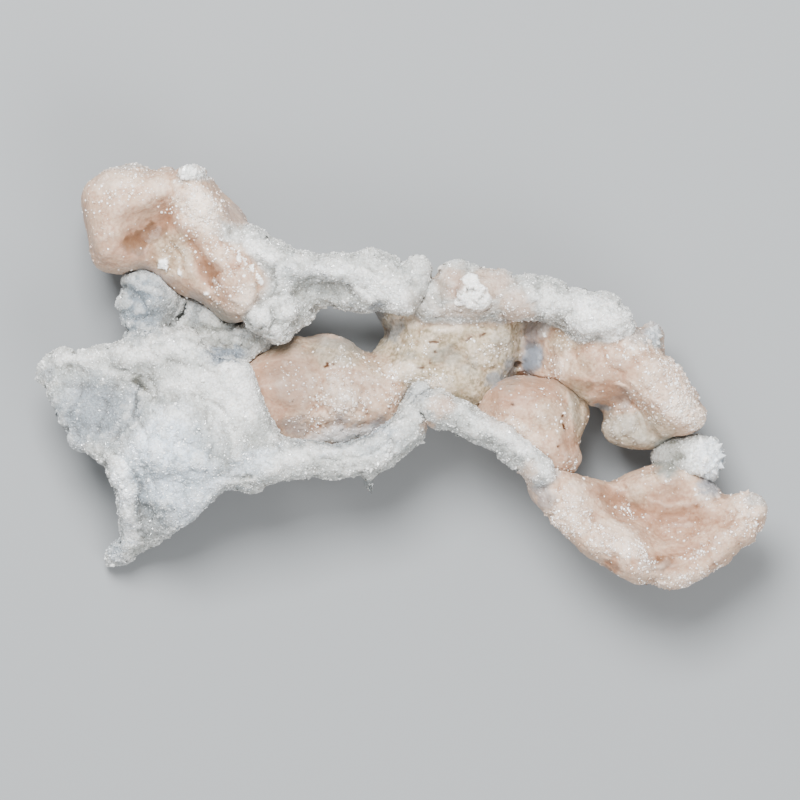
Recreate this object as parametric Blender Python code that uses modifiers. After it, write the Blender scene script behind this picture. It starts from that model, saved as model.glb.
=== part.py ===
"""A druzy quartz stalactite specimen on chalcedony, lying on the broken faces it was split from the rock by.

The specimen is an open lattice: pink chalcedony lumps, a cream matrix block, and crusts, rails and a
stalactite of quartz that grew from lump to lump. +X runs along its length, +Y across it and +Z up from
the surface it lies on. The origin is under the middle of its box. Lengths below are drawn units of MM,
and each mesh is made in metres.

Every piece is a relief: an outline seen from above, and soundings (x, y, top, bottom) that say how high
its upper and under sides stand. Pieces that touch are fitted: the later one is cut to the earlier.
"""

import math
import random

import bmesh
import bpy
import numpy as np
from mathutils import Matrix, Vector
from mathutils.bvhtree import BVHTree

LENGTH = 0.220  # of the whole specimen, in metres: every other size follows it
DRAWN_LENGTH = 220.0  # of the specimen as its outlines are drawn below
MM = LENGTH / DRAWN_LENGTH  # one drawn unit, a millimetre at this length
FIT_GAP = 0.3  # between two grown-together pieces
PRISM_HALF = 9.0  # half the height of the flat blank that a relief starts as
BLANK_VOXEL = 1.3
SKIN_VOXEL = 1.25
SOUNDING_REACH = 3.0  # how far a sounding holds its own level before the next one takes over
EDGE_SHARE = 0.22  # thickness left at the very outline, as a share of the thickness inside
POINT_RISE = 1.1  # height of a crystal's point, as a share of its radius
ROOT_DEPTH = 1.6  # how deep a crystal is rooted, as a share of its radius
FLAT_ENOUGH = math.radians(1.0)  # facets that bend less than this are joined
CHANCE = random.Random(7)  # for the small differences between neighbouring crystals

QUARTZ = (0.80, 0.84, 0.85)
CHALCEDONY = (0.80, 0.62, 0.54)
MATRIX = (0.72, 0.68, 0.58)


def clear_scene():
    for obj in list(bpy.data.objects):
        bpy.data.objects.remove(obj)


def material(name, colour, roughness):
    made = bpy.data.materials.new(name)
    made.use_nodes = True
    shader = made.node_tree.nodes["Principled BSDF"]
    shader.inputs["Base Color"].default_value = (*colour, 1.0)
    shader.inputs["Roughness"].default_value = roughness
    shader.inputs["Metallic"].default_value = 0.0
    return made


def new_object(name, mesh):
    obj = bpy.data.objects.new(name, mesh)
    bpy.context.scene.collection.objects.link(obj)
    return obj


def bake(obj):
    """Applies the object's modifiers, and its curve shape if it has one, and returns it as a mesh object."""
    graph = bpy.context.evaluated_depsgraph_get()
    mesh = bpy.data.meshes.new_from_object(obj.evaluated_get(graph))
    made = new_object(obj.name + "_baked", mesh)
    made.matrix_world = obj.matrix_world
    name = obj.name
    bpy.data.objects.remove(obj)
    made.name = name
    return made


def points_of(obj):
    flat = np.empty(len(obj.data.vertices) * 3)
    obj.data.vertices.foreach_get("co", flat)
    return flat.reshape(-1, 3)


def set_points(obj, points):
    obj.data.vertices.foreach_set("co", points.ravel())
    obj.data.update()


def remeshed(obj, voxel_mm):
    skin = obj.modifiers.new("skin", "REMESH")
    skin.mode = "VOXEL"
    skin.voxel_size = voxel_mm * MM
    return bake(obj)


def blank(name, outline):
    """A flat prism with this outline, filled with an even net of points."""
    curve = bpy.data.curves.new(name, "CURVE")
    curve.dimensions = "2D"
    curve.fill_mode = "BOTH"
    curve.extrude = PRISM_HALF * MM
    spline = curve.splines.new("POLY")
    spline.points.add(len(outline) - 1)
    for point, (x, y) in zip(spline.points, outline):
        point.co = (x * MM, y * MM, 0.0, 1.0)
    spline.use_cyclic_u = True
    prism = bake(new_object(name, curve))
    body = bmesh.new()
    body.from_mesh(prism.data)
    bmesh.ops.remove_doubles(body, verts=body.verts, dist=1e-6)
    bmesh.ops.recalc_face_normals(body, faces=body.faces)
    body.to_mesh(prism.data)
    body.free()
    return remeshed(prism, BLANK_VOXEL)


def distance_to_outline(places, outline):
    corners = np.array(outline, float)
    nearest = np.full(len(places), 1e9)
    for start, end in zip(corners, np.roll(corners, -1, axis=0)):
        along = end - start
        share = np.clip((places - start) @ along / (along @ along), 0.0, 1.0)
        gap = np.linalg.norm(places - start - share[:, None] * along, axis=1)
        nearest = np.minimum(nearest, gap)
    return nearest


def levels(places, soundings):
    """The upper and under level at each place, blended from the soundings around it."""
    known = np.array(soundings, float)
    gap = ((places[:, None, :] - known[None, :, :2]) ** 2).sum(axis=2)
    weight = (gap + SOUNDING_REACH**2) ** -1.5
    weight /= weight.sum(axis=1, keepdims=True)
    return weight @ known[:, 2], weight @ known[:, 3]


def raise_relief(obj, outline, soundings, rim):
    """Moves the blank's points to the soundings' levels, with the edge rounded over the width of the rim."""
    points = points_of(obj) / MM
    upper, under = levels(points[:, :2], soundings)
    inward = np.clip(distance_to_outline(points[:, :2], outline) / rim, 0.0, 1.0)
    fullness = EDGE_SHARE + (1 - EDGE_SHARE) * np.sqrt(1 - (1 - inward) ** 2)
    half = (upper - under) / 2 * fullness
    points[:, 2] = (upper + under) / 2 + half * np.clip(points[:, 2] / PRISM_HALF, -1.0, 1.0)
    set_points(obj, points * MM)


def add_balls(obj, balls):
    """Joins round lumps (x, y, z, radius) to the body. The next remesh makes them one skin with it."""
    body = bmesh.new()
    body.from_mesh(obj.data)
    for x, y, z, radius in balls:
        place = Matrix.Translation(Vector((x, y, z)) * MM)
        bmesh.ops.create_icosphere(body, subdivisions=3, radius=radius * MM, matrix=place)
    body.to_mesh(obj.data)
    body.free()


def roughen(obj, size_mm, strength_mm):
    """Swells and sinks the skin in lumps of about this size."""
    clouds = bpy.data.textures.new(obj.name + "_lumps", "CLOUDS")
    clouds.noise_scale = size_mm * MM
    clouds.noise_depth = 1
    lumps = obj.modifiers.new("lumps", "DISPLACE")
    lumps.texture = clouds
    lumps.texture_coords = "GLOBAL"
    lumps.mid_level = 0.5
    lumps.strength = strength_mm * MM


def thin_out(obj, faces):
    """Leaves about this many triangles, the most where the skin bends most."""
    count = sum(len(polygon.vertices) - 2 for polygon in obj.data.polygons)
    thin = obj.modifiers.new("thin", "DECIMATE")
    thin.ratio = min(1.0, faces / count)
    thin.use_collapse_triangulate = True


def relief(name, outline, soundings, rim, lumps, faces, balls=()):
    """One grown piece. lumps is (size, height) of its swellings, and faces how many triangles it keeps."""
    obj = blank(name, outline)
    raise_relief(obj, outline, soundings, rim)
    if balls:
        add_balls(obj, balls)
    obj = remeshed(obj, SKIN_VOXEL)
    soften = obj.modifiers.new("soften", "SMOOTH")
    soften.factor = 0.5
    soften.iterations = 3
    roughen(obj, *lumps)
    obj = bake(obj)
    thin_out(obj, faces)
    return bake(obj)


def grown_copy(obj, by_mm):
    """A cutter: the piece's own skin, pushed out by the fitting gap."""
    cutter = new_object(obj.name + "_cutter", obj.data.copy())
    push = cutter.modifiers.new("push", "DISPLACE")
    push.mid_level = 0.0
    push.strength = by_mm * MM
    return bake(cutter)


def combine(obj, other, operation):
    """Joins or cuts the body with another, which is used up."""
    joint = obj.modifiers.new("joint", "BOOLEAN")
    joint.operation = operation
    joint.object = other
    joint.solver = "EXACT"
    joint.use_self = operation == "UNION"
    made = bake(obj)
    bpy.data.objects.remove(other)
    return made


def keep_largest(obj):
    """Drops the slivers that a cut parts from the body."""
    body = bmesh.new()
    body.from_mesh(obj.data)
    left = set(body.verts)
    islands = []
    while left:
        front = [left.pop()]
        island = list(front)
        while front:
            for edge in front.pop().link_edges:
                for vert in edge.verts:
                    if vert in left:
                        left.remove(vert)
                        island.append(vert)
                        front.append(vert)
        islands.append(island)
    islands.sort(key=len)
    bmesh.ops.delete(body, geom=[v for island in islands[:-1] for v in island], context="VERTS")
    body.to_mesh(obj.data)
    body.free()


def fit_to(obj, *neighbours):
    """Cuts the piece back from its neighbours, so that it meets them face to face."""
    for neighbour in neighbours:
        obj = combine(obj, grown_copy(neighbour, FIT_GAP), "DIFFERENCE")
        keep_largest(obj)
    return obj


def stand_on_break(obj):
    """Cuts off what reaches below the surface that the specimen lies on, and leaves a flat broken face."""
    body = bmesh.new()
    body.from_mesh(obj.data)
    everything = body.verts[:] + body.edges[:] + body.faces[:]
    cut = bmesh.ops.bisect_plane(
        body, geom=everything, plane_co=(0, 0, 0), plane_no=(0, 0, 1), dist=1e-7, clear_inner=True
    )
    rim = [part for part in cut["geom_cut"] if isinstance(part, bmesh.types.BMEdge)]
    bmesh.ops.holes_fill(body, edges=rim)
    bmesh.ops.dissolve_limit(body, angle_limit=FLAT_ENOUGH, verts=body.verts, edges=body.edges)
    bmesh.ops.triangulate(body, faces=[face for face in body.faces if len(face.verts) > 3])
    bmesh.ops.recalc_face_normals(body, faces=body.faces)
    body.to_mesh(obj.data)
    body.free()


def crystal(foot, way, radius, shaft):
    """A six-sided quartz crystal, all in metres: a shaft with a point, growing from foot along way."""
    body = bmesh.new()
    bmesh.ops.create_cone(body, cap_ends=True, segments=6, radius1=radius, radius2=radius, depth=shaft)
    top = [face for face in body.faces if face.calc_center_median().z > shaft * 0.49]
    tip = bmesh.ops.poke(body, faces=top)["verts"][0]
    tip.co.z += radius * POINT_RISE
    turn = Vector((0, 0, 1)).rotation_difference(way).to_matrix().to_4x4()
    place = Matrix.Translation(foot) @ turn @ Matrix.Translation((0, 0, shaft / 2))
    bmesh.ops.transform(body, matrix=place, verts=body.verts)
    mesh = bpy.data.meshes.new("crystal")
    body.to_mesh(mesh)
    body.free()
    return new_object("crystal", mesh)


def stud(obj, crystals):
    """Grows crystals (heart, way, radius, stand) on the skin, where a line from the heart leaves it."""
    skin = BVHTree.FromObject(obj, bpy.context.evaluated_depsgraph_get())
    for heart, way, radius, stand in crystals:
        place = skin.ray_cast(Vector(heart) * MM, way)[0]
        root = radius * ROOT_DEPTH
        shaft = root + stand - radius * POINT_RISE
        grown = crystal(place - way * root * MM, way, radius * MM, shaft * MM)
        obj = combine(obj, grown, "UNION")
    return obj


def finish(obj, mineral, collection):
    obj.data.materials.clear()
    obj.data.materials.append(mineral)
    obj.data.polygons.foreach_set("material_index", [0] * len(obj.data.polygons))
    bpy.context.scene.collection.objects.unlink(obj)
    collection.objects.link(obj)


def chalcedony_knob():
    """The blocky pink knob at the upper left, with the orange lobe that runs down from it."""
    outline = [
        (-90, 31), (-92.5, 34), (-93.5, 40), (-95.2, 48), (-96, 53), (-95.5, 56), (-93.5, 58.4),
        (-90, 60), (-88.8, 61.6), (-85.5, 62), (-83, 62.8), (-80.5, 63.5), (-78, 62.8), (-75.8, 61.3),
        (-72, 62), (-69.8, 63.2), (-68, 62.2), (-66.3, 61.5), (-65.5, 62.5), (-59, 62.8), (-58.5, 60),
        (-56.2, 58.4), (-54.2, 55), (-52, 53.8), (-48.3, 49.5), (-45.2, 46), (-46, 44.5), (-44, 40),
        (-40, 35), (-37.5, 30), (-37, 26), (-39.5, 21.5), (-43, 18.3), (-47, 16), (-51, 15.2),
        (-54, 17), (-57, 20), (-61, 22.5), (-65.5, 24.2), (-69.5, 25), (-72, 27.8), (-74.5, 30.8),
        (-79, 31.2), (-84, 30.2), (-87, 30.9),
    ]
    soundings = [
        (-91, 54, 47, 8), (-84, 57, 51, 5), (-76, 57, 50, 4), (-91, 46, 49, 8), (-83, 49, 53, 2),
        (-75, 51.5, 52, 0), (-86, 42.5, 50, 4), (-79, 41.8, 40, -3), (-73.5, 45, 38, -6),
        (-70, 47.5, 40, -8), (-87, 36, 47, 10), (-79, 35, 46, 6), (-73, 38, 43, 0),
        (-69, 34, 40, -2), (-66, 30, 41, 4), (-64, 56, 49, 4), (-62, 60, 50, 8), (-57, 50, 52, 2),
        (-64, 46, 47, -8), (-52, 46, 44, 6), (-49, 50, 36, 14), (-60, 38, 42, -5), (-57, 29, 40, 2),
        (-51, 34, 47, 6), (-46, 29, 50, 12), (-42, 26, 46, 18), (-49, 21, 45, 18), (-56, 23, 41, 12),
        (-44, 37, 44, 16),
    ]
    stub = [(-63.5, 60.3, 49, 2.6), (-60.8, 61.0, 47, 2.2), (-62.0, 60.0, 44, 3.0)]
    return relief("chalcedony_knob", outline, soundings, 7.5, (7, 1.6), 860, stub)


def chalcedony_lump():
    """The round pink and cream lump in the middle, sunk behind the lower rail."""
    outline = [
        (-52, -4), (-47, 4), (-41, 7.3), (-37, 9), (-34.5, 9.5), (-33, 11), (-31.3, 12.4), (-28, 11.8),
        (-25, 12.5), (-21, 12), (-17.5, 11.3), (-14.5, 9.8), (-12, 7.8), (-10, 5.5), (-8.5, 4.8),
        (-5, 5.5), (-2, 3), (1, -1), (3, -5), (2, -10), (0, -14), (-4, -18), (-9, -21), (-16, -23.5),
        (-24, -24), (-31, -23.5), (-37, -22.5), (-45, -20), (-52, -12),
    ]
    soundings = [
        (-37, 3, 33, 6), (-35, -3, 40, 2), (-36, -12, 36, 4), (-30, -7, 39, 2), (-28, 5, 32, 6),
        (-22, 7, 34, 6), (-21, -1, 41, 0), (-15, 3, 39, 4), (-16, -8, 42, 2), (-9, -2, 37, 6),
        (-7, -9, 38, 8), (-46, -5, 41, 12), (-44, -14, 39, 12), (-24, -11, 37, 2), (-28, -17, 30, 6),
        (-19, -17, 31, 6), (-11, -16, 32, 8), (-2, -6, 36, 10), (-33, -17, 31, 8),
    ]
    return relief("chalcedony_lump", outline, soundings, 9.0, (6, 1.6), 400)


def matrix_block():
    """The cream matrix behind the middle, which stands on its broken underside."""
    outline = [
        (-9, 4), (-7.3, 6.5), (-6.3, 9), (-5.3, 10.8), (-4, 12), (-4, 14), (-5, 15.7), (-7, 17.8),
        (-8.2, 20), (-6, 23), (2, 24), (12, 23), (22, 23), (30, 21.5), (35, 19), (36.5, 14), (35.8, 8),
        (34.6, 4), (34.5, 1), (33, -3), (31, -7), (26, -10), (21, -11), (15, -9.5), (9, -8), (3, -7),
        (-3, -3),
    ]
    soundings = [
        (-4, 16, 27, 12), (-2, 9, 28, 6), (3, 13, 33, -3), (10, 10, 37, -6), (20, 9, 37, -6),
        (28, 12, 35, -4), (12, 3, 33, -6), (22, 3, 34, -6), (30, 5, 31, -2), (3, 1, 36, -2),
        (12, -4, 37, 2), (21, -6, 34, 6), (28, -2, 30, 6), (4, 20, 33, 6), (18, 19, 36, 4),
        (32, 17, 31, 6),
    ]
    return relief("matrix_block", outline, soundings, 7.0, (5, 1.8), 380)


def right_chalcedony_knob():
    """The orange knob right of the middle, draped from the matrix down to the fan."""
    outline = [
        (21.5, -10), (23.5, -6.5), (26, -3.4), (29, -1.3), (32.5, -0.3), (37, -0.2), (41, -0.9),
        (45, -1.2), (49, -1.5), (53, -4), (56, -7.5), (57.2, -10.5), (57, -13.3), (55.4, -15.3),
        (54.3, -18.5), (53, -21.7), (54, -24), (54.3, -26), (53.4, -27.6), (52, -29.3), (50, -32),
        (45, -33), (40, -29), (34, -23), (28, -18), (23, -14),
    ]
    soundings = [
        (26, -8, 36, 12), (31, -5, 42, 8), (38, -5, 44, 6), (45, -6, 42, 4), (50, -7, 35, 4),
        (54, -9, 32, 8), (34, -12, 45, 10), (42, -13, 46, 6), (48, -13, 40, 6), (52, -15, 36, 10),
        (44, -20, 45, 10), (50, -22, 43, 12), (52, -26, 38, 14), (46, -28, 40, 12), (38, -20, 42, 14),
    ]
    return relief("right_chalcedony_knob", outline, soundings, 8.0, (6, 1.4), 340)


def chalcedony_shoulder():
    """The broad pink shoulder at the upper right, which stands on its broken back."""
    outline = [
        (36.5, 1), (35.8, 4), (36.3, 10), (37, 15), (41, 18.5), (46, 19), (51, 16), (55, 13.5),
        (61, 13.5), (66, 14.5), (70, 14.8), (73, 13.7), (74.2, 15.3), (76, 16), (78.2, 15), (79, 12),
        (78.8, 8), (78.6, 6.3), (80.6, 6), (82.6, 3.8), (84.6, 1.4), (85.8, -1), (86.5, -2.8),
        (88.4, -4.3), (89.7, -6.5), (89.8, -8.8), (91.6, -9.6), (92.6, -12), (92.5, -13.6),
        (90.5, -14.8), (90, -17), (87, -17.6), (83, -18), (78, -19.5), (75, -16), (72.5, -10.5),
        (69, -7.5), (64, -8.4), (61, -8.4), (58.7, -9.6), (55, -9), (51, -6.5), (46, -4), (40, -2.5),
    ]
    soundings = [
        (38, 12, 24, 6), (39, 5, 22, 4), (44, 2, 26, 2), (46, 10, 30, -2), (51, 9, 38, -4),
        (51, 1, 38, -2), (57, 6, 44, -6), (58, -2, 43, -4), (55, -6, 34, 6), (62, -5, 37, 8),
        (64, 4, 43, -8), (71, 6, 46, -8), (69, -2, 44, -4), (77, 1, 47, -2), (82, -4, 44, 6),
        (76, -8, 45, 4), (83, -11, 40, 12), (77, -15, 36, 14), (89, -12, 34, 18), (76, 12, 34, 14),
        (70, 12, 40, 4),
    ]
    return relief("chalcedony_shoulder", outline, soundings, 7.5, (7, 1.6), 640)


def chalcedony_fan():
    """The scalloped pink fan at the lower right: a shallow bowl with a thick druzy lip."""
    outline = [
        (36.5, -28), (38, -33), (39.2, -37), (41.5, -39.7), (44.2, -41.5), (45.6, -44.2), (48, -46),
        (49.5, -48.7), (52, -51), (54.5, -53.2), (58.5, -55.6), (61.5, -57.2), (64, -59.6),
        (66.7, -60.3), (68.2, -62.2), (70.5, -62.8), (74, -62), (77, -63.2), (80.5, -64.2),
        (84.5, -64.1), (88, -62.6), (91.7, -60), (95, -58.3), (98.8, -56.6), (99.4, -54.3),
        (102.2, -51.9), (105.2, -50.7), (106.5, -48.5), (109.2, -45.2), (109.9, -42), (110.3, -39.8),
        (109.7, -37.3), (107.8, -35.9), (105, -35), (102.5, -35.9), (99, -35.9), (96.3, -36.4),
        (95, -33), (92, -30.5), (88, -28.5), (84, -26.6), (80.5, -26.2), (76.5, -27), (71.5, -28.5),
        (67, -30.4), (64.5, -32), (62.7, -33.1), (61, -32), (59, -31.1), (56, -31), (53, -30),
        (49, -27.5), (43, -24.5), (38, -25),
    ]
    soundings = [
        (42, -32, 42, 24), (46, -38, 43, 26), (52, -36, 44, 24), (58, -35, 38, 18), (53, -45, 46, 28),
        (60, -42, 40, 18), (58, -51, 46, 30), (66, -49, 45, 22), (64, -38, 27, 6), (70, -40, 24, -3),
        (69, -57, 45, 28), (77, -57, 44, 24), (78, -47, 27, -5), (72, -34, 33, 10), (80, -31, 36, 8),
        (84, -38, 28, -5), (88, -45, 28, -4), (86, -55, 38, 18), (84, -61, 42, 28), (94, -52, 40, 20),
        (95, -42, 34, 6), (92, -35, 34, 12), (101, -47, 43, 24), (104, -40, 40, 24), (99, -38, 36, 16),
        (107, -43, 38, 26),
    ]
    obj = relief("chalcedony_fan", outline, soundings, 6.0, (5, 1.6), 860)
    heart = (104.5, -41, 33)
    left = Vector((-0.32, 1, 0.1)).normalized()
    right = Vector((-0.1, 1, 0)).normalized()
    return stud(obj, [(heart, left, 0.9, 1.8), (heart, right, 0.8, 1.4)])


def grey_lobe():
    """The grey chalcedony lobe that hangs behind the shoulder."""
    outline = [
        (58.5, -6), (60, -9.2), (61.8, -11), (62, -13.5), (61, -16.5), (62.2, -19.3), (64.5, -21.2),
        (68.5, -21.8), (72.5, -22.3), (76.3, -22.6), (80, -22), (83, -19.5), (82, -14), (77, -9),
        (72, -5), (66, -3),
    ]
    soundings = [
        (64, -8, 27, 10), (66, -15, 31, 8), (70, -18, 32, 8), (72, -11, 31, 6), (77, -18, 29, 10),
        (79, -14, 26, 8),
    ]
    return relief("grey_lobe", outline, soundings, 8.0, (6, 1.0), 130)


def quartz_sheet():
    """The wide star-shaped crust at the left, bright in the middle and drooping to its tips."""
    outline = [
        (-109.7, -0.6), (-109, 1.8), (-107.6, 5.4), (-105, 6.2), (-102.3, 7.2), (-100.4, 8.4),
        (-99, 7.9), (-97.6, 6.3), (-94, 7), (-91, 8), (-88, 9), (-84.5, 9.3), (-82.3, 10.4),
        (-79.5, 11.6), (-76, 12.4), (-72, 13), (-69.5, 13.8), (-66, 13), (-63.5, 14.1), (-61.3, 12.9),
        (-59.8, 10.4), (-57.3, 8.4), (-56, 7), (-56, 5), (-55, 4), (-52, 4.3), (-48.5, 5), (-46, 4.5),
        (-44, 2.5), (-43.5, 0), (-42.3, -3), (-41.8, -6), (-40, -9.3), (-39.2, -13), (-37.6, -15.6),
        (-36.5, -18), (-35, -19.3), (-33.5, -23), (-33.5, -29), (-35.5, -31.4), (-39.8, -32),
        (-40.4, -34.4), (-43, -34.4), (-45, -35), (-47.5, -33.7), (-53, -34), (-55.5, -36),
        (-57.5, -38.8), (-60, -41), (-61, -43), (-65, -45), (-68, -47.5), (-72, -50), (-75.5, -52.2),
        (-78.5, -52.5), (-80.5, -55), (-83.5, -57.3), (-86, -57), (-88.5, -58.3), (-89.8, -57),
        (-89.5, -54), (-88.3, -51.8), (-85.3, -50), (-84.3, -47.5), (-85, -44), (-84.8, -40),
        (-84.5, -36.5), (-85.5, -34), (-87.2, -32), (-87.3, -29), (-87.5, -27), (-90, -26),
        (-92.2, -23.5), (-95, -22.8), (-97.5, -22.5), (-99.3, -20.7), (-100, -18.6), (-99.3, -16.8),
        (-101.7, -15), (-102.9, -12), (-104.6, -9), (-105.9, -6), (-106.3, -3.6), (-108.5, -2.6),
    ]
    soundings = [
        (-106, 2, 32, 22), (-99, 4, 38, 28), (-97, -6, 37, 27), (-97, -17, 33, 24), (-89, 1, 43, 30),
        (-89, -9, 39, 27), (-88, -20, 38, 26), (-80, 5, 49, 32), (-78, -3, 41, 29),
        (-79, -12, 45, 30), (-72, 9, 50, 34), (-62, 10, 50, 34), (-66, -2, 50, 36), (-58, 1, 52, 38),
        (-49, 0, 54, 37), (-46, -9, 53, 34), (-56, -10, 52, 38), (-68, -14, 53, 38), (-72, -24, 53, 36),
        (-61, -25, 52, 37), (-50, -22, 51, 33), (-40, -25, 48, 34), (-50, -31, 45, 31),
        (-61, -35, 44, 30), (-84, -29, 44, 26), (-77, -33, 39, 22), (-69, -38, 43, 26),
        (-82, -40, 35, 12), (-76, -43, 28, 6), (-68, -45, 34, 20), (-81, -50, 20, -6),
        (-77, -50, 20, 2), (-87, -55, 12, -6),
    ]
    return relief("quartz_sheet", outline, soundings, 4.5, (5, 1.8), 1000)


def quartz_stem():
    """The grey-blue druzy stem that hangs from the knob behind the sheet."""
    outline = [
        (-84, 33), (-84.3, 29), (-83.3, 27), (-82.3, 25.8), (-84.2, 24.8), (-84, 23.6), (-85.5, 21.8),
        (-84.4, 19.8), (-84.4, 17.5), (-82.5, 16), (-82.2, 12), (-83.5, 9.8), (-84, 5), (-80, 2),
        (-73, 2), (-69, 7), (-67.8, 12), (-68, 15.5), (-67, 18.5), (-66, 21), (-65.8, 25), (-69, 30),
        (-74, 34), (-79, 35),
    ]
    soundings = [
        (-79, 30, 37, 14), (-74, 24, 38, 10), (-80, 21, 36, 12), (-71, 18, 34, 12), (-77, 13, 38, 14),
        (-75, 7, 42, 14), (-80, 7, 39, 16),
    ]
    return relief("quartz_stem", outline, soundings, 7.0, (4, 2.0), 200)


def quartz_wall():
    """The grey crust at the back that ties the stem to the middle lump under the lobe."""
    outline = [
        (-65.5, 26), (-64.8, 21.5), (-64.6, 19.5), (-65.8, 17), (-67.4, 14.5), (-67.5, 10), (-66, 5),
        (-60, 2), (-52, 0), (-46, 0), (-41, 5), (-38, 9), (-38, 13), (-42, 18), (-48, 22), (-55, 26),
        (-60, 28),
    ]
    soundings = [
        (-61, 22, 28, 12), (-63, 12, 30, 10), (-55, 18, 29, 8), (-55, 9, 31, 10), (-47, 15, 30, 8),
        (-44, 9, 27, 10), (-59, 4, 43, 12), (-52, 2, 42, 12),
    ]
    return relief("quartz_wall", outline, soundings, 6.0, (4, 2.0), 180)


def upper_bridge():
    """The white crust that bridges from the knob to the ledge, with round lumps at its left foot."""
    outline = [
        (-53, 42), (-50, 43.7), (-46, 44.8), (-43, 44), (-40, 42), (-36.5, 40.2), (-33.6, 38.8),
        (-32.6, 37), (-29.5, 36.8), (-26, 36.2), (-23, 35.4), (-20, 36.3), (-15, 35.8), (-13.3, 36.5),
        (-11, 36.7), (-9.2, 37.6), (-7.3, 36.2), (-2.5, 35.5), (-0.5, 34.3), (0.4, 33.1), (2, 33.2),
        (3.2, 34.8), (5, 35.3), (6.5, 34.4), (8.7, 33.7), (9.9, 32.4), (9.8, 31), (8.8, 29.3),
        (9.5, 27), (7, 22), (3, 19), (-0.5, 18), (-3, 18.8), (-6.5, 20.2), (-8.3, 19.3), (-10, 18.3),
        (-13, 19.3), (-16, 20), (-18, 20), (-20.4, 21.7), (-22, 21.4), (-25.3, 21), (-25.8, 18.5),
        (-26, 16), (-27.5, 15), (-32, 14.6), (-32.4, 13), (-33.1, 11), (-34, 9.2), (-35.5, 9.2),
        (-36.8, 10.3), (-39.5, 10.5), (-41, 12.3), (-44.3, 14.6), (-45.7, 17), (-45, 20), (-43, 25),
        (-43, 31), (-46, 36), (-50, 39),
    ]
    soundings = [
        (-48, 41, 44, 26), (-42, 38, 48, 26), (-35, 34, 49, 28), (-28, 33.5, 48, 30), (-20, 32, 47, 31),
        (-12, 31, 48, 31), (-4, 29, 49, 29), (4, 28, 46, 26), (-3, 23, 44, 22), (-29, 26, 36, 20),
        (-22, 25.5, 35, 20), (-14, 24.5, 39, 22), (-28, 19, 34, 20), (-37, 28, 45, 18),
        (-36, 22, 46, 18), (-41, 17, 45, 24), (-37, 13, 42, 22), (-33, 17, 42, 20), (7, 32, 42, 26),
    ]
    beads = [
        (-41.8, 17.5, 41, 4.2), (-38.0, 14.2, 38, 4.2), (-34.6, 19.5, 41, 4.6), (-34.8, 12.2, 36, 3.0),
        (-40.0, 21.5, 42, 3.8), (-9.3, 35.0, 40, 3.2), (5.3, 32.4, 40, 3.4),
    ]
    return relief("upper_bridge", outline, soundings, 5.0, (5, 1.8), 540, beads)


def upper_ledge():
    """The crusted ledge along the upper right, carrying a chalk-white patch."""
    outline = [
        (6, 17), (3, 20), (5, 25), (9.3, 29), (10.8, 30.5), (11.4, 32.2), (13.5, 32.9), (15.2, 34.1),
        (17.5, 34.4), (20, 33.4), (23.5, 32.4), (26, 32), (28, 31.2), (30, 31.8), (32.2, 31),
        (33.1, 29.2), (35, 29.6), (36.5, 29.3), (37.8, 30.1), (39.3, 29), (41, 29.6), (44, 29.3),
        (45.5, 28.2), (48.2, 27.6), (49, 25.8), (50.2, 25.1), (51.5, 26.1), (53, 26.4), (54.7, 25.2),
        (56.2, 24.4), (58, 24.6), (60, 25.4), (62.2, 24.6), (64.7, 23.8), (65.2, 22.2), (67.4, 19.9),
        (68.8, 19), (69.6, 16.8), (70.3, 14.5), (68, 12), (64, 11), (59, 10.6), (54.5, 10.8),
        (52, 12), (50.3, 14.4), (48, 16.8), (45, 16.3), (42.5, 17), (39.5, 17.2), (36.7, 16.5),
        (34, 17.3), (31, 17.3), (25, 17), (20, 16.8), (15.5, 16), (11, 16.5),
    ]
    soundings = [
        (7, 21, 41, 24), (12, 27, 44, 26), (14, 20, 42, 22), (17, 31, 41, 26), (21, 25, 50, 22),
        (21, 19, 43, 24), (27, 28, 44, 24), (29, 21, 43, 22), (36, 24, 46, 24), (37, 19, 44, 28),
        (43, 24, 47, 24), (45, 19, 44, 26), (52, 20, 49, 22), (53, 14, 46, 28), (59, 18, 51, 20),
        (60, 13, 48, 26), (66, 16, 47, 20), (37, 28, 40, 28), (48, 25, 43, 28), (61, 22, 45, 26),
    ]
    return relief("upper_ledge", outline, soundings, 5.0, (4.5, 1.8), 530)


def lower_rail():
    """The druzy rail under the middle lump: the rim of the hollow that the lump sits in."""
    outline = [
        (-37, -18), (-34, -19.6), (-31, -20), (-26, -20.3), (-21, -21), (-16, -20.4), (-11, -19.3),
        (-7, -17.3), (-4.5, -15.3), (-2, -13.3), (0, -10.3), (1.5, -7), (3, -4), (5, -1.5), (8, -1.5),
        (10, -4), (9.5, -9), (8.5, -14), (7.4, -17.5), (6.8, -19.6), (5, -21), (2, -22.8),
        (-0.5, -24.8), (-2, -26.5), (-4.5, -28.5), (-8, -30), (-11, -29.8), (-15, -30.2),
        (-18, -31.3), (-20, -31.3), (-23, -30), (-27, -30.5), (-30, -31), (-34, -31.8), (-37, -31.5),
    ]
    soundings = [
        (-34, -25, 47, 31), (-27, -24, 46, 29), (-27, -28, 41, 30), (-19, -25, 45, 27),
        (-18, -29, 39, 28), (-10, -23, 45, 26), (-8, -27, 40, 26), (-3, -19, 45, 25),
        (1, -14, 44, 24), (4, -17, 41, 24), (3, -9, 42, 24), (6, -6, 41, 26), (-1, -23, 40, 25),
    ]
    obj = relief("lower_rail", outline, soundings, 4.5, (4.5, 1.6), 310)
    hanging = ((-9.4, -26, 33), Vector((0.08, -1, 0)).normalized(), 1.25, 3.6)
    return stud(obj, [hanging])


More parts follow.
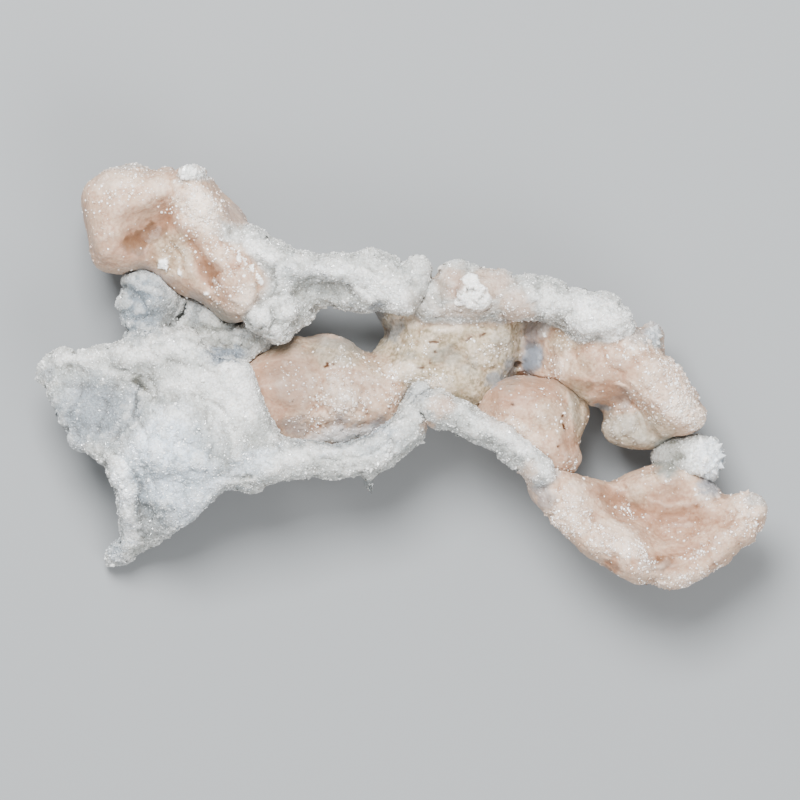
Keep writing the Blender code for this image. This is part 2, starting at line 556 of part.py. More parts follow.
def slanting_rail():
    """The druzy rail from the lower rail down to the fan, in front of the right knob."""
    outline = [
        (3, -7), (6, -5.4), (8, -4.6), (10, -4.8), (13, -5), (16, -6.6), (19.5, -8.3), (22, -9.7),
        (24.5, -11.7), (27, -12.4), (31, -13.3), (34.5, -15.5), (38, -18.7), (42, -22.3), (45.5, -26),
        (47, -29), (44, -33), (38.5, -33.5), (36.8, -30), (35.5, -28.3), (33.5, -27.3), (31, -25.8),
        (29, -24.2), (28, -22), (26, -22), (23, -20.5), (21, -19.2), (18.5, -17.8), (16.5, -16.1),
        (14, -16.2), (12, -16.6), (10, -15.2), (7, -13), (4, -11),
    ]
    soundings = [
        (7, -9, 45, 28), (12, -10, 47, 28), (18, -12.5, 46, 28), (24, -16, 47, 28), (30, -19, 48, 30),
        (36, -23, 49, 31), (42, -28, 48, 31), (13, -15, 41, 28), (27, -21, 42, 29), (33, -26, 43, 30),
    ]
    return relief("slanting_rail", outline, soundings, 4.5, (4, 1.8), 230)


def quartz_stalactite():
    """The short blue-white stalactite at the right end, covered with quartz points."""
    outline = [
        (75.8, -24), (76.6, -21.5), (80, -19.8), (84, -18.2), (88.3, -18.2), (89, -19.2), (92, -19),
        (94.5, -19.3), (96.3, -21.3), (97.2, -24.5), (96.2, -28), (94.5, -30), (94.3, -33),
        (91, -35), (86, -33), (82, -30), (78, -28.5), (76.3, -26.8),
    ]
    soundings = [
        (79, -24, 26, 12), (84, -24, 30, 12), (90, -24, 36, 14), (92, -29, 33, 14), (86, -29, 28, 10),
    ]
    obj = relief("quartz_stalactite", outline, soundings, 7.0, (4, 1.0), 120)
    heart = (89.5, -24.5, 25.0)
    rings = [(-8, 9, -95, 190), (24, 8, -110, 215), (54, 6, -150, 300)]
    points = []
    for tilt, count, start, sweep in rings:
        for step in range(count):
            turn = math.radians(start + sweep * step / (count - 1) + CHANCE.uniform(-6, 6))
            rise = math.radians(tilt + CHANCE.uniform(-6, 6))
            way = Vector((math.cos(rise) * math.cos(turn), math.cos(rise) * math.sin(turn), math.sin(rise)))
            points.append((heart, way, CHANCE.uniform(1.1, 1.5), CHANCE.uniform(1.7, 2.4)))
    return stud(obj, points)


def centre(pieces):
    """Puts the origin under the middle of the specimen's box."""
    everything = np.concatenate([points_of(obj) for obj in pieces])
    low, high = everything.min(axis=0), everything.max(axis=0)
    shift = -np.array([(low[0] + high[0]) / 2, (low[1] + high[1]) / 2, low[2]])
    for obj in pieces:
        set_points(obj, points_of(obj) + shift)


# Each piece with its mineral, and the earlier pieces that it is cut to.
GROWTH = [
    (chalcedony_knob, "chalcedony", []),
    (chalcedony_lump, "chalcedony", []),
    (matrix_block, "matrix", ["chalcedony_lump"]),
    (right_chalcedony_knob, "chalcedony", ["matrix_block"]),
    (chalcedony_shoulder, "chalcedony", ["matrix_block", "right_chalcedony_knob"]),
    (chalcedony_fan, "chalcedony", ["right_chalcedony_knob"]),
    (grey_lobe, "chalcedony", ["chalcedony_shoulder"]),
    (quartz_sheet, "quartz", ["chalcedony_lump"]),
    (quartz_stem, "quartz", ["chalcedony_knob", "quartz_sheet"]),
    (quartz_wall, "quartz", ["chalcedony_knob", "chalcedony_lump", "quartz_sheet", "quartz_stem"]),
    (upper_bridge, "quartz", ["chalcedony_knob", "chalcedony_lump", "matrix_block", "quartz_wall"]),
    (upper_ledge, "quartz", ["matrix_block", "chalcedony_shoulder", "upper_bridge"]),
    (slanting_rail, "quartz", ["matrix_block", "right_chalcedony_knob", "chalcedony_fan"]),
    (lower_rail, "quartz", ["chalcedony_lump", "matrix_block", "quartz_sheet", "slanting_rail"]),
    (quartz_stalactite, "quartz", ["grey_lobe", "chalcedony_shoulder", "chalcedony_fan"]),
]


def main():
    clear_scene()
    specimen = bpy.data.collections.new("quartz_stalactite_on_chalcedony")
    bpy.context.scene.collection.children.link(specimen)
    minerals = {
        "quartz": material("drusy_quartz", QUARTZ, 0.45),
        "chalcedony": material("pink_chalcedony", CHALCEDONY, 0.35),
        "matrix": material("cream_matrix", MATRIX, 0.7),
    }
    grown = {}
    for build_piece, mineral, earlier in GROWTH:
        obj = fit_to(build_piece(), *[grown[name] for name in earlier])
        stand_on_break(obj)
        finish(obj, minerals[mineral], specimen)
        grown[obj.name] = obj
    centre(list(grown.values()))


main()
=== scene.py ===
"""The look of a drusy quartz stalactite specimen on chalcedony, which lies on its broken back.

The CAD solids give the form. Here each gets a fine skin that closes over the seams between limbs, is
carved where the stone has ridges, ledges and pits, and is roughened as its mineral is. Tens of thousands
of quartz points grow on that skin. Lengths are in millimetres, turned to metres where a mesh is made.
"""

import math

import bmesh
import bpy
import numpy as np
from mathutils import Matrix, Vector
from mathutils.bvhtree import BVHTree


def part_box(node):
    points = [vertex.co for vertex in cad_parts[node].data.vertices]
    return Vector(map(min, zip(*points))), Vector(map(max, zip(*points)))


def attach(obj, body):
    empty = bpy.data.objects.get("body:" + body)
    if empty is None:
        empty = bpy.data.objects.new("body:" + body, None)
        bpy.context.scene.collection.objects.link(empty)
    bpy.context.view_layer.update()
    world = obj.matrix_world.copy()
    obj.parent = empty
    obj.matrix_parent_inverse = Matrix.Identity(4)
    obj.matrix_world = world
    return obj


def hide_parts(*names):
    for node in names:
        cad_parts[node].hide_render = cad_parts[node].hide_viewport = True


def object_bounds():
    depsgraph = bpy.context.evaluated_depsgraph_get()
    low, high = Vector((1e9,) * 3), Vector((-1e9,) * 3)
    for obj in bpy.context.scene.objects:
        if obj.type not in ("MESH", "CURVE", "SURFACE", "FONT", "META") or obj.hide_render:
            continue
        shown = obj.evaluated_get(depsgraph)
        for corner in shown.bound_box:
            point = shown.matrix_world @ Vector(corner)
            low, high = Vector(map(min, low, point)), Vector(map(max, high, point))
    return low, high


MM = 0.001
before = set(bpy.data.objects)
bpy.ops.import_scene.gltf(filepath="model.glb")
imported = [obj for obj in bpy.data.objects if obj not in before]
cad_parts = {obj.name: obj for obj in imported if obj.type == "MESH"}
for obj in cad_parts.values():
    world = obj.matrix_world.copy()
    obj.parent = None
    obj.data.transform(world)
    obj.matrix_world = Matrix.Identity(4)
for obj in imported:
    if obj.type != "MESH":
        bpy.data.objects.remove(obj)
cad_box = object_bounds()
CAD_LOW, CAD_HIGH = (np.array(corner) / MM for corner in cad_box)

# The view: straight down on the specimen, 240 mm wide at the height of its outline.
VIEW_WIDTH = 240.0
VIEW_CENTRE = (-0.3, -7.2)
OUTLINE_HEIGHT = 32.0
CAMERA_HEIGHT = 2000.0
SENSOR = 36.0
FLOOR_REACH = 3000.0  # from the middle of the floor to its edges

# The skin.
SEAM_SWELL = (0.9, 0.5)  # closes the seams between the solids, in two steps
CRUST = 0.05  # how far the finished skin stands out from the solids
COARSE_VOXEL = 1.1
FINE_VOXEL = 0.52
COARSE_ROUNDS, FINE_ROUNDS = 4, 3  # rounds of softening after each coarse net, and after the fine one
UNDERSIDE_KEPT = 0.35  # share of the faces kept where the skin looks down
FLOOR_GAP = 0.02  # how far the skin stays above what the specimen lies on
OVERHANG = 0.5  # how far crystals may stand out past the solids' own box
HOLLOW_DEPTH = 0.34  # how deep a place lies under its surroundings to count as a hollow
HOLLOW_ROUNDS = 14  # how many rounds of softening level those surroundings

QUARTZ_NODES = (
    "quartz_sheet", "quartz_stem", "quartz_wall", "upper_bridge", "upper_ledge", "lower_rail",
    "slanting_rail", "quartz_stalactite",
)
MINERAL_REACH = 1.3  # over how many millimetres one mineral passes into the next
SHARE_REACH = 4  # how far a solid's minerals are felt outside its box
FAR = 1e3  # farther than anything here
OVAL_EDGE = (0.45, 1.1)  # an oval's strength falls away between these shares of its half width
TOP_SLOPES = (0.1, 0.4)  # crusts that lie on top need faces that look up by this much,
TOP_HEIGHTS = (20, 34)  # or run down upright faces to between these heights
WANDER = ((3.0, 11, 2.6), (0.9, 14, 1.6))  # the noise in the minerals' edges: (size, seed, reach)
RUST_REACH = 2.0  # how far from its route a brown streak is looked for
CURVE_STEPS = 5  # pieces of each stretch of a smoothed route
LEDGE_EDGE = 0.2  # how far from a ledge's line its step is full, as a share of its reach

# The clear crystal that hangs from the lower rail.
HANGING_X = -9.2
HANGING_WAY = (0.2, -1.0, 0.1)
HANGING_RADIUS = 1.4
HANGING_SHAFT = 1.6
HANGING_TIP = 3.0


# ---------------------------------------------------------------- stage


def new_object(name, data):
    made = bpy.data.objects.new(name, data)
    bpy.context.scene.collection.objects.link(made)
    return made


def look_down():
    """A long lens straight above, so that heights hardly shift the outline."""
    lens = bpy.data.cameras.new("view")
    lens.sensor_width = SENSOR
    lens.lens = SENSOR * (CAMERA_HEIGHT - OUTLINE_HEIGHT) / VIEW_WIDTH
    lens.clip_end = 5 * CAMERA_HEIGHT * MM
    camera = new_object("view", lens)
    camera.location = (VIEW_CENTRE[0] * MM, VIEW_CENTRE[1] * MM, CAMERA_HEIGHT * MM)
    bpy.context.scene.camera = camera


def soft_box(name, place, size, power):
    """A square soft light that faces the specimen, with its place and size in metres and power in watts."""
    light = bpy.data.lights.new(name, "AREA")
    light.size = size
    light.energy = power
    box = new_object(name, light)
    box.location = place
    box.rotation_euler = Vector(place).to_track_quat("Z", "Y").to_euler()


def studio():
    """Soft light from above, a little from beyond the specimen's upper edge, on a pale floor."""
    soft_box("key", place=(-0.18, 0.56, 1.2), size=0.55, power=52.0)
    soft_box("fill", place=(0.5, -0.7, 1.0), size=0.8, power=13.0)
    world = bpy.data.worlds.new("studio")
    world.use_nodes = True
    sky = world.node_tree.nodes["Background"].inputs
    sky["Color"].default_value = (1.0, 1.0, 1.0, 1.0)
    sky["Strength"].default_value = 0.85
    bpy.context.scene.world = world
    edge = FLOOR_REACH * MM
    floor = bpy.data.meshes.new("floor")
    corners = [(-edge, -edge, 0), (edge, -edge, 0), (edge, edge, 0), (-edge, edge, 0)]
    floor.from_pydata(corners, [], [(0, 1, 2, 3)])
    floor.materials.append(painted_board())
    floor_object = new_object("floor", floor)


# ---------------------------------------------------------------- noise

CELL_FACTORS = (73856093, 19349663, 83492791)  # large primes, which scatter the numbers of a lattice cell
SEED_FACTOR = 40503
SCATTER = ((13, 1274126177), (11, 668265263), (15, 1))  # rounds of scattering: (bits to shift by, factor)
KEPT_BITS = 0x7FFFFFFF
CHANCE_BITS = 0xFFFF


def cell_chance(cells, seed):
    """An even random number from 0 to 1 for each cell of a whole-number lattice."""
    mixed = np.bitwise_xor.reduce(cells * CELL_FACTORS, axis=-1)
    mixed = (mixed ^ seed * SEED_FACTOR) & KEPT_BITS
    for bits, factor in SCATTER:
        mixed = (mixed ^ mixed >> bits) * factor & KEPT_BITS
    return (mixed & CHANCE_BITS) / CHANCE_BITS


def soft_noise(places, size, seed):
    """Smooth noise from 0 to 1 whose lumps are about this many millimetres across."""
    scaled = places / size
    cells = np.floor(scaled).astype(np.int64)
    share = scaled - cells
    share = share * share * (3 - 2 * share)
    total = np.zeros(len(places))
    for corner in np.ndindex(2, 2, 2):
        step = np.array(corner)
        weight = np.prod(np.where(step == 1, share, 1 - share), axis=1)
        total += weight * cell_chance(cells + step, seed)
    return total


def rough_noise(places, size, seed):
    """Soft noise with two finer layers on it."""
    fine = soft_noise(places, size / 2.1, seed + 1) * 0.3 + soft_noise(places, size / 4.3, seed + 2) * 0.15
    return soft_noise(places, size, seed) * 0.55 + fine


def domes(places, size, seed):
    """Round domes packed side by side, about this many millimetres across: 1 on top, 0 between them."""
    scaled = places / size
    cells = np.floor(scaled).astype(np.int64)
    nearest = np.full(len(places), 9.0)
    for corner in np.ndindex(3, 3, 3):
        near = cells + np.array(corner) - 1
        middle = near + np.stack([cell_chance(near, seed + axis) for axis in range(3)], axis=1)
        nearest = np.minimum(nearest, ((scaled - middle) ** 2).sum(axis=1))
    return np.sqrt(np.clip(1 - nearest, 0, 1))


def step_up(value, low, high):
    """0 below low, 1 above high, and smooth between."""
    share = np.clip((value - low) / (high - low), 0, 1)
    return share * share * (3 - 2 * share)


# ---------------------------------------------------------------- skins


def bake(made):
    """Applies the modifiers."""
    graph = bpy.context.evaluated_depsgraph_get()
    old = made.data
    fresh = bpy.data.meshes.new_from_object(made.evaluated_get(graph))
    made.modifiers.clear()
    made.data = fresh
    bpy.data.meshes.remove(old)


def regrow(skin, swell, voxel, rounds):
    """Swells the skin, nets it anew in even faces and softens it."""
    push = skin.modifiers.new("swell", "DISPLACE")
    push.mid_level = 0.0
    push.strength = swell * MM
    net = skin.modifiers.new("net", "REMESH")
    net.mode = "VOXEL"
    net.voxel_size = voxel * MM
    soften = skin.modifiers.new("soften", "SMOOTH")
    soften.factor = 0.5
    soften.iterations = rounds
    bake(skin)


def skin_over(name, *nodes):
    """One even skin over these solids, grown together where they meet."""
    body = bmesh.new()
    for node in nodes:
        body.from_mesh(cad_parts[node].data)
    mesh = bpy.data.meshes.new(name)
    body.to_mesh(mesh)
    body.free()
    skin = new_object(name, mesh)
    for swell in SEAM_SWELL:
        regrow(skin, swell, COARSE_VOXEL, COARSE_ROUNDS)
    regrow(skin, CRUST - sum(SEAM_SWELL), FINE_VOXEL, FINE_ROUNDS)
    thin_underside(skin)
    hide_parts(*nodes)
    return skin


def thin_underside(skin):
    """Fewer, larger faces where the skin looks down at what the specimen lies on."""
    downward = step_up(-normals_of(skin)[:, 2], 0.1, 0.5)
    group = skin.vertex_groups.new(name="underside")
    for index in np.flatnonzero(downward > 0):
        group.add([int(index)], float(downward[index]), "REPLACE")
    fewer = skin.modifiers.new("fewer", "DECIMATE")
    fewer.vertex_group = group.name
    fewer.ratio = 1 - downward.mean() * (1 - UNDERSIDE_KEPT)
    bake(skin)


def places_of(skin):
    flat = np.empty(len(skin.data.vertices) * 3)
    skin.data.vertices.foreach_get("co", flat)
    return flat.reshape(-1, 3) / MM


def normals_of(skin):
    flat = np.empty(len(skin.data.vertices) * 3)
    skin.data.vertex_normals.foreach_get("vector", flat)
    return flat.reshape(-1, 3)


def move_to(skin, places):
    """Moves the skin's points, kept above the floor and near the solids' box."""
    low = CAD_LOW - (OVERHANG, OVERHANG, -FLOOR_GAP)
    skin.data.vertices.foreach_set("co", (np.clip(places, low, CAD_HIGH + OVERHANG) * MM).ravel())
    skin.data.update()


def softened(skin, places, rounds):
    """Where the points would lie after each has moved to the middle of its neighbours a few times."""
    ends = np.empty(len(skin.data.edges) * 2, np.int32)
    skin.data.edges.foreach_get("vertices", ends)
    one, other = ends.reshape(-1, 2).T
    size = len(places)
    count = np.bincount(one, minlength=size) + np.bincount(other, minlength=size)
    for _ in range(rounds):
        total = [
            np.bincount(one, places[other, axis], size) + np.bincount(other, places[one, axis], size)
            for axis in range(3)
        ]
        places = np.stack(total, axis=1) / count[:, None]
    return places


def keep(mesh, name, values):
    """Keeps one number for each point of the mesh, for the materials."""
    mesh.attributes.new(name, "FLOAT", "POINT").data.foreach_set("value", values.astype(np.float32))


# ---------------------------------------------------------------- minerals over the specimen

# Each oval is (x, y, wide, high, strength), as seen from above, and its turn in degrees if it is turned.

FROST = [  # a frost of fine quartz over the chalcedony
    (-59.5, 49, 12, 20, 0.85, 38), (-49, 41, 20, 9, 0.6, -32), (-70, 57, 16, 6, 0.35),
    (-85, 58, 20, 7, 0.3, 12), (-66, 54, 8, 8, 0.3), (-44, 20, 5, 6, 0.4), (-53, 36, 5, 8, 0.2, 30),
    (-18, -6, 14, 14, 0.4, -15), (-16, -17.5, 34, 6, 0.85, 4), (70, -16, 26, 12, 0.2),
    (-8, -3, 18, 12, 0.15, 20), (-20, -12, 26, 4, 0.25), (0, 1, 14, 8, 0.35), (24, 7, 11, 8, 0.15),
    (8, 9, 8, 7, 0.15), (10, -3, 14, 6, 0.35), (15, 15, 16, 5, 0.3), (76, 12, 8, 9, 1),
    (70, 11, 13, 8, 0.6), (80, -2, 22, 20, 0.25), (84, -10, 13, 10, 0.8), (89, -13, 8, 8, 0.5),
    (48, 3, 6, 8, 0.3), (36, 9, 3, 14, 0.4), (30, 10, 7, 11, 0.12), (-1, 12, 7, 6, 0.1),
    (3, 17, 16, 5, 0.35), (40, 15.5, 10, 5, 0.35), (45, -11, 10, 8, 0.1), (-46, 23, 10, 10, 0.6),
    (35, -17, 16, 7, 0.4, -30), (50, -40, 18, 15, 0.3, 20), (43, -33, 8, 8, 0.5),
    (56, -46, 22, 8, 0.3, -40), (65, -47, 20, 7, 0.45, -35), (53, -33, 7, 5, 0.4),
    (68, -52, 16, 7, 0.55, -20), (74, -58, 12, 8, 0.2), (86, -61, 40, 5, 0.25, 8), (104, -39, 14, 10, 0.35),
    (92, -37, 10, 6, 0.25, -40), (86, -29, 8, 6, 0.25),
]
CRUST_OVER = [  # thick quartz crust that spreads over the chalcedony
    (-62, 60, 11, 7, 1), (-49, 41.5, 19, 8, 0.9, -32), (76, 12, 8, 9, 0.9), (70, 12, 11, 7, 0.5),
    (106, -37.5, 7, 5, 0.6), (-39, 33, 8, 6, 0.8, -40), (-79, 63, 26, 3, 0.6, 8),
]
MILKY = [  # the whitest quartz
    (-72, -21, 24, 19, 1, 10), (-68, -13, 17, 9, 0.85), (-61, -27, 13, 11, 0.8), (-70, -32, 15, 13, 0.8),
    (-50, -8, 19, 26, 0.75, -20), (-45, -3, 8, 14, 0.85, -15), (-50, 2, 13, 6, 0.8), (-64, 9, 22, 9, 0.55),
    (-77, 7, 22, 7, 0.55), (-60, -2, 26, 12, 0.55), (-83, -32, 7, 19, 1.6), (-81.5, -46, 5, 12, 1.2),
    (-95, 6, 22, 4, 0.5, 5), (-57, -33, 14, 6, 0.8, 30), (-64, -39, 18, 9, 0.8, 35), (-86, -52, 9, 9, 0.6),
    (-38, -25, 26, 9, 0.65, 5), (-24, -22.5, 26, 4, 0.45, -3), (-48, -28, 12, 6, 0.7, 20),
    (-5, -21, 16, 9, 0.4, 30), (-15, -27, 14, 4, 0.35, 5), (-24, 31.4, 26, 4.5, 0.8, -2),
    (-42, 37, 22, 6, 0.8, -30), (-8, 27, 22, 10, 0.85, -15), (0, 23, 13, 10, 0.55), (-34, 33, 9, 5, 0.5),
    (-42, 18, 7, 6, 0.6), (-34, 20, 8, 7, 0.5), (-36, 13, 8, 5, 0.4), (44, 22, 11, 9, 0.7),
    (57, 19, 22, 15, 1, -10), (64, 13, 13, 9, 0.9), (30, 29, 9, 4, 0.3), (-82, 13, 9, 7, 0.3),
    (27, -15, 15, 6, 0.5, -25), (36, -21, 13, 6, 0.6, -30), (46, -29, 13, 6, 0.5, -30),
    (91.5, -24.6, 12, 12, 1.4), (-62, 60, 9, 6, 0.8), (70, 13, 9, 6, 0.5),
]
SEE_THROUGH_GREY_AND_PAINTED_SHADE = [  # thin see-through quartz with dark behind it, and painted shade in recesses, pits and the holes of the chalk crust
    (20.4, 25.4, 3.2, 1.5, 1, 55), (23.8, 23.3, 2.6, 1.2, 0.9, 20), (24.8, 24.8, 1.8, 1.2, 0.8, 60),
    (-23, 26.6, 18, 5, 0.5, -8), (-31, 25, 7, 6, 0.5), (-17, 24, 8, 5, 0.3, -30), (-12, 21, 8, 3, 0.3, -20),
    (-79, 22, 14, 26, 0.7), (-57, 15, 24, 16, 0.75), (-46, 12, 8, 10, 0.6), (-72, 17, 8, 8, 0.4),
    (-1, 12, 9, 11, 0.1), (13, 6, 12, 8, 0.55), (20, 3, 10, 6, 0.35), (2, 6, 7, 4, 0.4),
    (80, -24, 12.5, 15, 1.3), (69, -16, 20, 14, 0.5), (75, -19, 14, 6, 0.4), (62, -12, 5, 8, 0.5),
    (-77.8, -2.8, 7.5, 5.5, 0.9, -40), (-17, 9.5, 24, 5, 0.6, -12), (-24, 4, 10, 8, 0.25),
    (-34, 9, 10, 3, 0.4, 10), (5, 24, 8, 14, 0.4), (12, 25, 5, 12, 0.5), (27, 20, 10, 4, 0.3),
    (3, -7, 8, 8, 0.4), (-79, -1.6, 4.4, 5, 0.9), (-77.4, -3.6, 6, 4, 0.9, -30), (-78.9, -7, 2.4, 7, 0.7),
    (52, -10, 5, 16, 0.3), (43, 15, 9, 4, 0.2), (32.5, -2, 6, 8, 0.3), (60, -9.5, 6, 3.5, 0.6),
    (-30, 33.8, 24, 2.5, 0.35, -4), (-31, 0, 22, 24, 0.3), (-16, -3, 28, 18, 0.25),
    (-21, 6, 22, 8, 0.35, -8), (-85, -52, 8, 6, 0.5), (-16, -19.5, 38, 4, 0.6, 4),
]
COOL = [  # quartz with a cold, bluish white
    (-16, -17, 38, 8, 1, 4), (-3, 13.5, 10, 9, 0.8), (31, 8, 9, 18, 0.6), (39, 8, 8, 16, 0.6),
    (-68, -27, 36, 42, 1, 10), (-92, -10, 34, 28, 0.45, -20), (-83, -36, 10, 34, 0.4),
    (-86, -52, 9, 12, 0.9), (-47, -27, 30, 12, 0.7, 20), (94, -25, 13, 16, 0.7), (-79, 22, 18, 26, 1),
    (-26, 30, 36, 12, 0.25, -5), (-52, 6.5, 14, 8, 0.3), (76, 13, 9, 10, 0.7), (-10, -20, 40, 8, 0.4, 4),
    (-64, -42, 20, 12, 0.8, 40),
]
CHALCEDONY_SHOWS = [  # chalcedony that shows through the quartz
    (15, 28, 14, 12, 0.7), (27, 28, 15, 12, 0.7), (34, 21, 13, 13, 0.65), (20, 20, 26, 6, 0.5),
    (38, -29, 7, 10, 0.6, -20), (30, -15, 16, 4, 0.3, -25), (12, -9, 9, 10, 0.75), (6, 22, 14, 8, 0.25),
    (8, -15, 5, 6, 0.8),
]
WARM = [  # orange-pink chalcedony, where the pigment is strongest; in its strongest ovals the darkest brown is partly painted shade in the valleys
    (-15, -4, 28, 18, 0.35), (76, -56, 20, 7, 0.9, 5), (60, -47, 26, 10, 0.3, -38),
    (-76.5, 41, 24, 11.5, 1, 25), (-76, 44, 22, 9, 0.6, 26), (-71, 46, 9, 8, 0.8, 30),
    (-82, 38, 20, 10, 0.4), (-95, 42, 6, 30, 0.35), (-88, 36, 12, 10, 0.35), (-71, 38.5, 16, 9, 0.7, 20),
    (-66, 43, 9, 9, 0.6), (-70, 50, 7, 8, 0.5), (-63.5, 40, 6, 14, 0.7, 38), (-57.5, 31, 7, 16, 0.85, 38),
    (-66, 28, 10, 8, 0.25, -35), (-52, 23, 10, 8, 0.45, -30), (-50, 34, 10, 7, 0.3, -30),
    (-47, 27, 8, 8, 0.2), (-78, 48, 16, 5, 0.3, 20), (-42, -3, 8, 24, 0.7, -8), (-34, -1, 19, 24, 0.75),
    (-38, -13, 8, 13, 0.45, -15), (-31, 5, 12, 8, 0.4), (-27, -9, 8, 10, 0.35), (-22, -1, 10, 8, 0.25),
    (-8, 2, 16, 6, 0.25, -20), (36, -5, 32, 12, 0.75), (28, -8, 10, 10, 0.4), (45, -9, 12, 12, 0.5),
    (50, -21, 8, 18, 0.6, -12), (34, -12, 18, 5, 0.25), (53, -2.5, 12, 7, 0.9, -10), (56, 4, 12, 8, 0.3),
    (62, -4, 12, 8, 0.7), (66, 2, 14, 8, 0.35), (44, -2, 10, 6, 0.4), (57, -8, 8, 5, 0.5),
    (78, -42, 26, 9, 0.7, -8), (88, -40, 20, 9, 0.5, 5), (62, -36, 16, 7, 0.75, -32), (78, -37, 16, 6, 0.6),
    (74, -55, 18, 6, 0.84, -10), (86, -52, 20, 5, 0.7, 6), (79, -30, 16, 6, 0.15, 12),
    (82, -33, 12, 5, 0.4), (63, -57, 8, 4, 0.8, -40), (84, -47, 12, 8, 0.4), (97, -44, 12, 5, 0.35),
    (66, -42, 14, 6, 0.4, -40), (16, 27.5, 12, 9, 0.7), (34, 21, 10, 9, 0.3), (95, -56, 10, 5, 0.3, 25),
    (12, -9, 8, 8, 0.2),
]
BLUE_GREY_AND_PAINTED_SHADE = [  # thin blue-grey quartz, and painted shade with a blue tint in recesses and on faces turned away
    (-92, -11, 30, 24, 0.6, -20), (-97, -20, 9, 6, 0.8), (-80, -9, 8, 14, 0.6), (-86, -55, 9, 8, 0.5),
    (-106, 1, 7, 8, 0.5), (-78, -38, 6, 26, 0.4, 4), (-74, -46, 14, 8, 0.35, 20), (-15, -18, 38, 9, 0.2, 5),
    (-6, -16, 12, 7, 0.35, 25), (-32, -15, 12, 6, 0.4), (-18, -13.5, 5, 6, 0.3), (-52, 6.5, 16, 7, 1),
    (-62, 20, 9, 12, 0.4), (-75, 22, 20, 24, 0.45), (-79, 13, 12, 8, 0.3), (-49, 13, 12, 6, 0.3, -30),
    (39, 6, 8.6, 13, 0.9), (40.5, 14, 10, 9, 0.5), (-2, 14, 8, 8, 0.35), (-7, 19, 8, 6, 0.8, -45),
    (28, -1, 8, 5, 0.7, 30), (33, 2, 5, 9, 0.6), (5, -5, 9, 9, 0.5, -30), (42, -35, 8, 12, 0.5, 25),
    (76, 13, 7, 6, 0.5), (67, -7, 7, 8, 0.35), (93, -33, 8, 10, 0.8, 20), (60, -9.5, 6, 3.5, 0.7),
    (-13, 20.5, 12, 3, 0.4, -12), (-49, 49, 8, 10, 0.3, 40), (97, -25, 5, 12, 0.45),
]
CREAM = [  # cream matrix that shows on the chalcedony
    (-68, 36, 15, 16, 0.7, 25), (-60, 18, 14, 6, 0.3, -35), (-64, 30, 8, 6, 0.4, -35),
    (-20, 7, 24, 10, 0.75, -8), (-37, 8, 12, 4, 0.6, 5), (-30, 11, 10, 4, 0.5), (-6, 3, 14, 8, 0.5),
    (45, -12, 14, 14, 0.35, -20), (53.5, -11, 9, 22, 0.8), (50, 11, 13, 12, 0.7), (54, 3, 12, 6, 0.35),
    (70, -17, 30, 15, 1), (50, -3, 10, 9, 0.4), (70, -36, 9, 8, 0.3), (78, -30, 14, 5, 0.3, 10),
]
CHALK = [  # chalk-white crusts
    (21, 28.4, 5.6, 5, 1), (22, 23.6, 11, 9, 1), (17.8, 22.3, 5, 4, 1), (-70.6, 34, 3.4, 2.8, 1, -25),
    (-66.2, 30.6, 1.6, 4, 0.5, 20), (-62.5, 59.5, 7, 3.6, 0.35), (-48.3, 35, 1.4, 3.6, 0.9, 15),
    (-46.4, 34.2, 1.2, 2.6, 0.9, 15), (-44.6, 31.8, 1.2, 3.4, 0.8, 25), (-42.2, 28.5, 1.4, 4.5, 0.8, 35),
    (-58.2, 24.5, 1.8, 1.4, 0.8), (-55.7, 28.5, 2.2, 2.4, 0.4), (-16.5, -6.5, 2, 1.6, 0.35),
    (-14, -9, 4, 1.4, 0.35, -30), (-26, -7, 1.4, 2.2, 0.35), (91.5, -24.8, 3.4, 2.4, 0.9, 20),
    (43, 12.5, 1, 1.4, 0.7), (73, -54, 1.8, 1.4, 0.6),
]
CHALK_HOLES = [  # gaps in the largest chalk crust
    (19.8, 25.2, 2.6, 1.6, 1, 60), (21.2, 25.6, 2.6, 1.4, 0.9, 50), (23.8, 23.3, 2.4, 1.4, 0.9, 20),
    (24.8, 24.8, 1.8, 1.4, 0.8, 60), (22.4, 21.8, 2.2, 1.3, 0.7, -20),
]
GLINTS = [  # chalcedony set with small bright crystals, their whiteness partly painted glints
    (-80, 57, 26, 12, 0.4, 15), (-88, 50, 16, 16, 0.15), (-60, 49, 16, 22, 0.8, 38), (-55, 40, 10, 10, 0.6),
    (-48, 33, 12, 18, 1, 35), (-52, 25, 16, 12, 0.5, -35), (-70, 50, 6, 8, 0.4), (-66, 36, 12, 12, 0.3),
    (-19, -6, 26, 17, 1, -10), (-14, 4, 16, 8, 0.5, -20), (-4, -3, 12, 16, 0.9, 30), (-32, 0, 10, 16, 0.3),
    (-24, -14, 22, 6, 0.6), (26, 7, 12, 10, 0.7), (8, -2, 20, 8, 0.8), (6, 9, 12, 8, 0.4),
    (81, -3, 24, 26, 1), (68, 8, 20, 9, 0.7), (87, -13, 10, 8, 1), (52, 11, 14, 9, 0.4),
    (60, 3, 12, 8, 0.25), (66, -14, 12, 12, 0.5), (46, 3, 6, 8, 0.6), (50, -41, 16, 18, 1, 30),
    (58, -48, 22, 10, 1, -40), (70, -54, 16, 9, 1, -20), (68, -41, 16, 4, 0.7, -25),
    (86, -60, 36, 7, 0.7, 8), (103, -43, 14, 16, 0.9, 20), (93, -51, 16, 6, 0.6, 40),
    (88, -53, 16, 2, 0.8, 10), (80, -30, 20, 8, 0.35, 10), (92, -35, 10, 8, 0.5), (84, -46, 14, 8, 0.15),
    (34, -15, 20, 8, 0.7, -25), (46, -12, 8, 12, 0.4), (50, -26, 8, 8, 0.4), (40, -6, 20, 8, 0.12),
    (12, -9, 9, 9, 0.8), (17, 26, 16, 12, 0.4), (34, 22, 12, 12, 0.3),
]
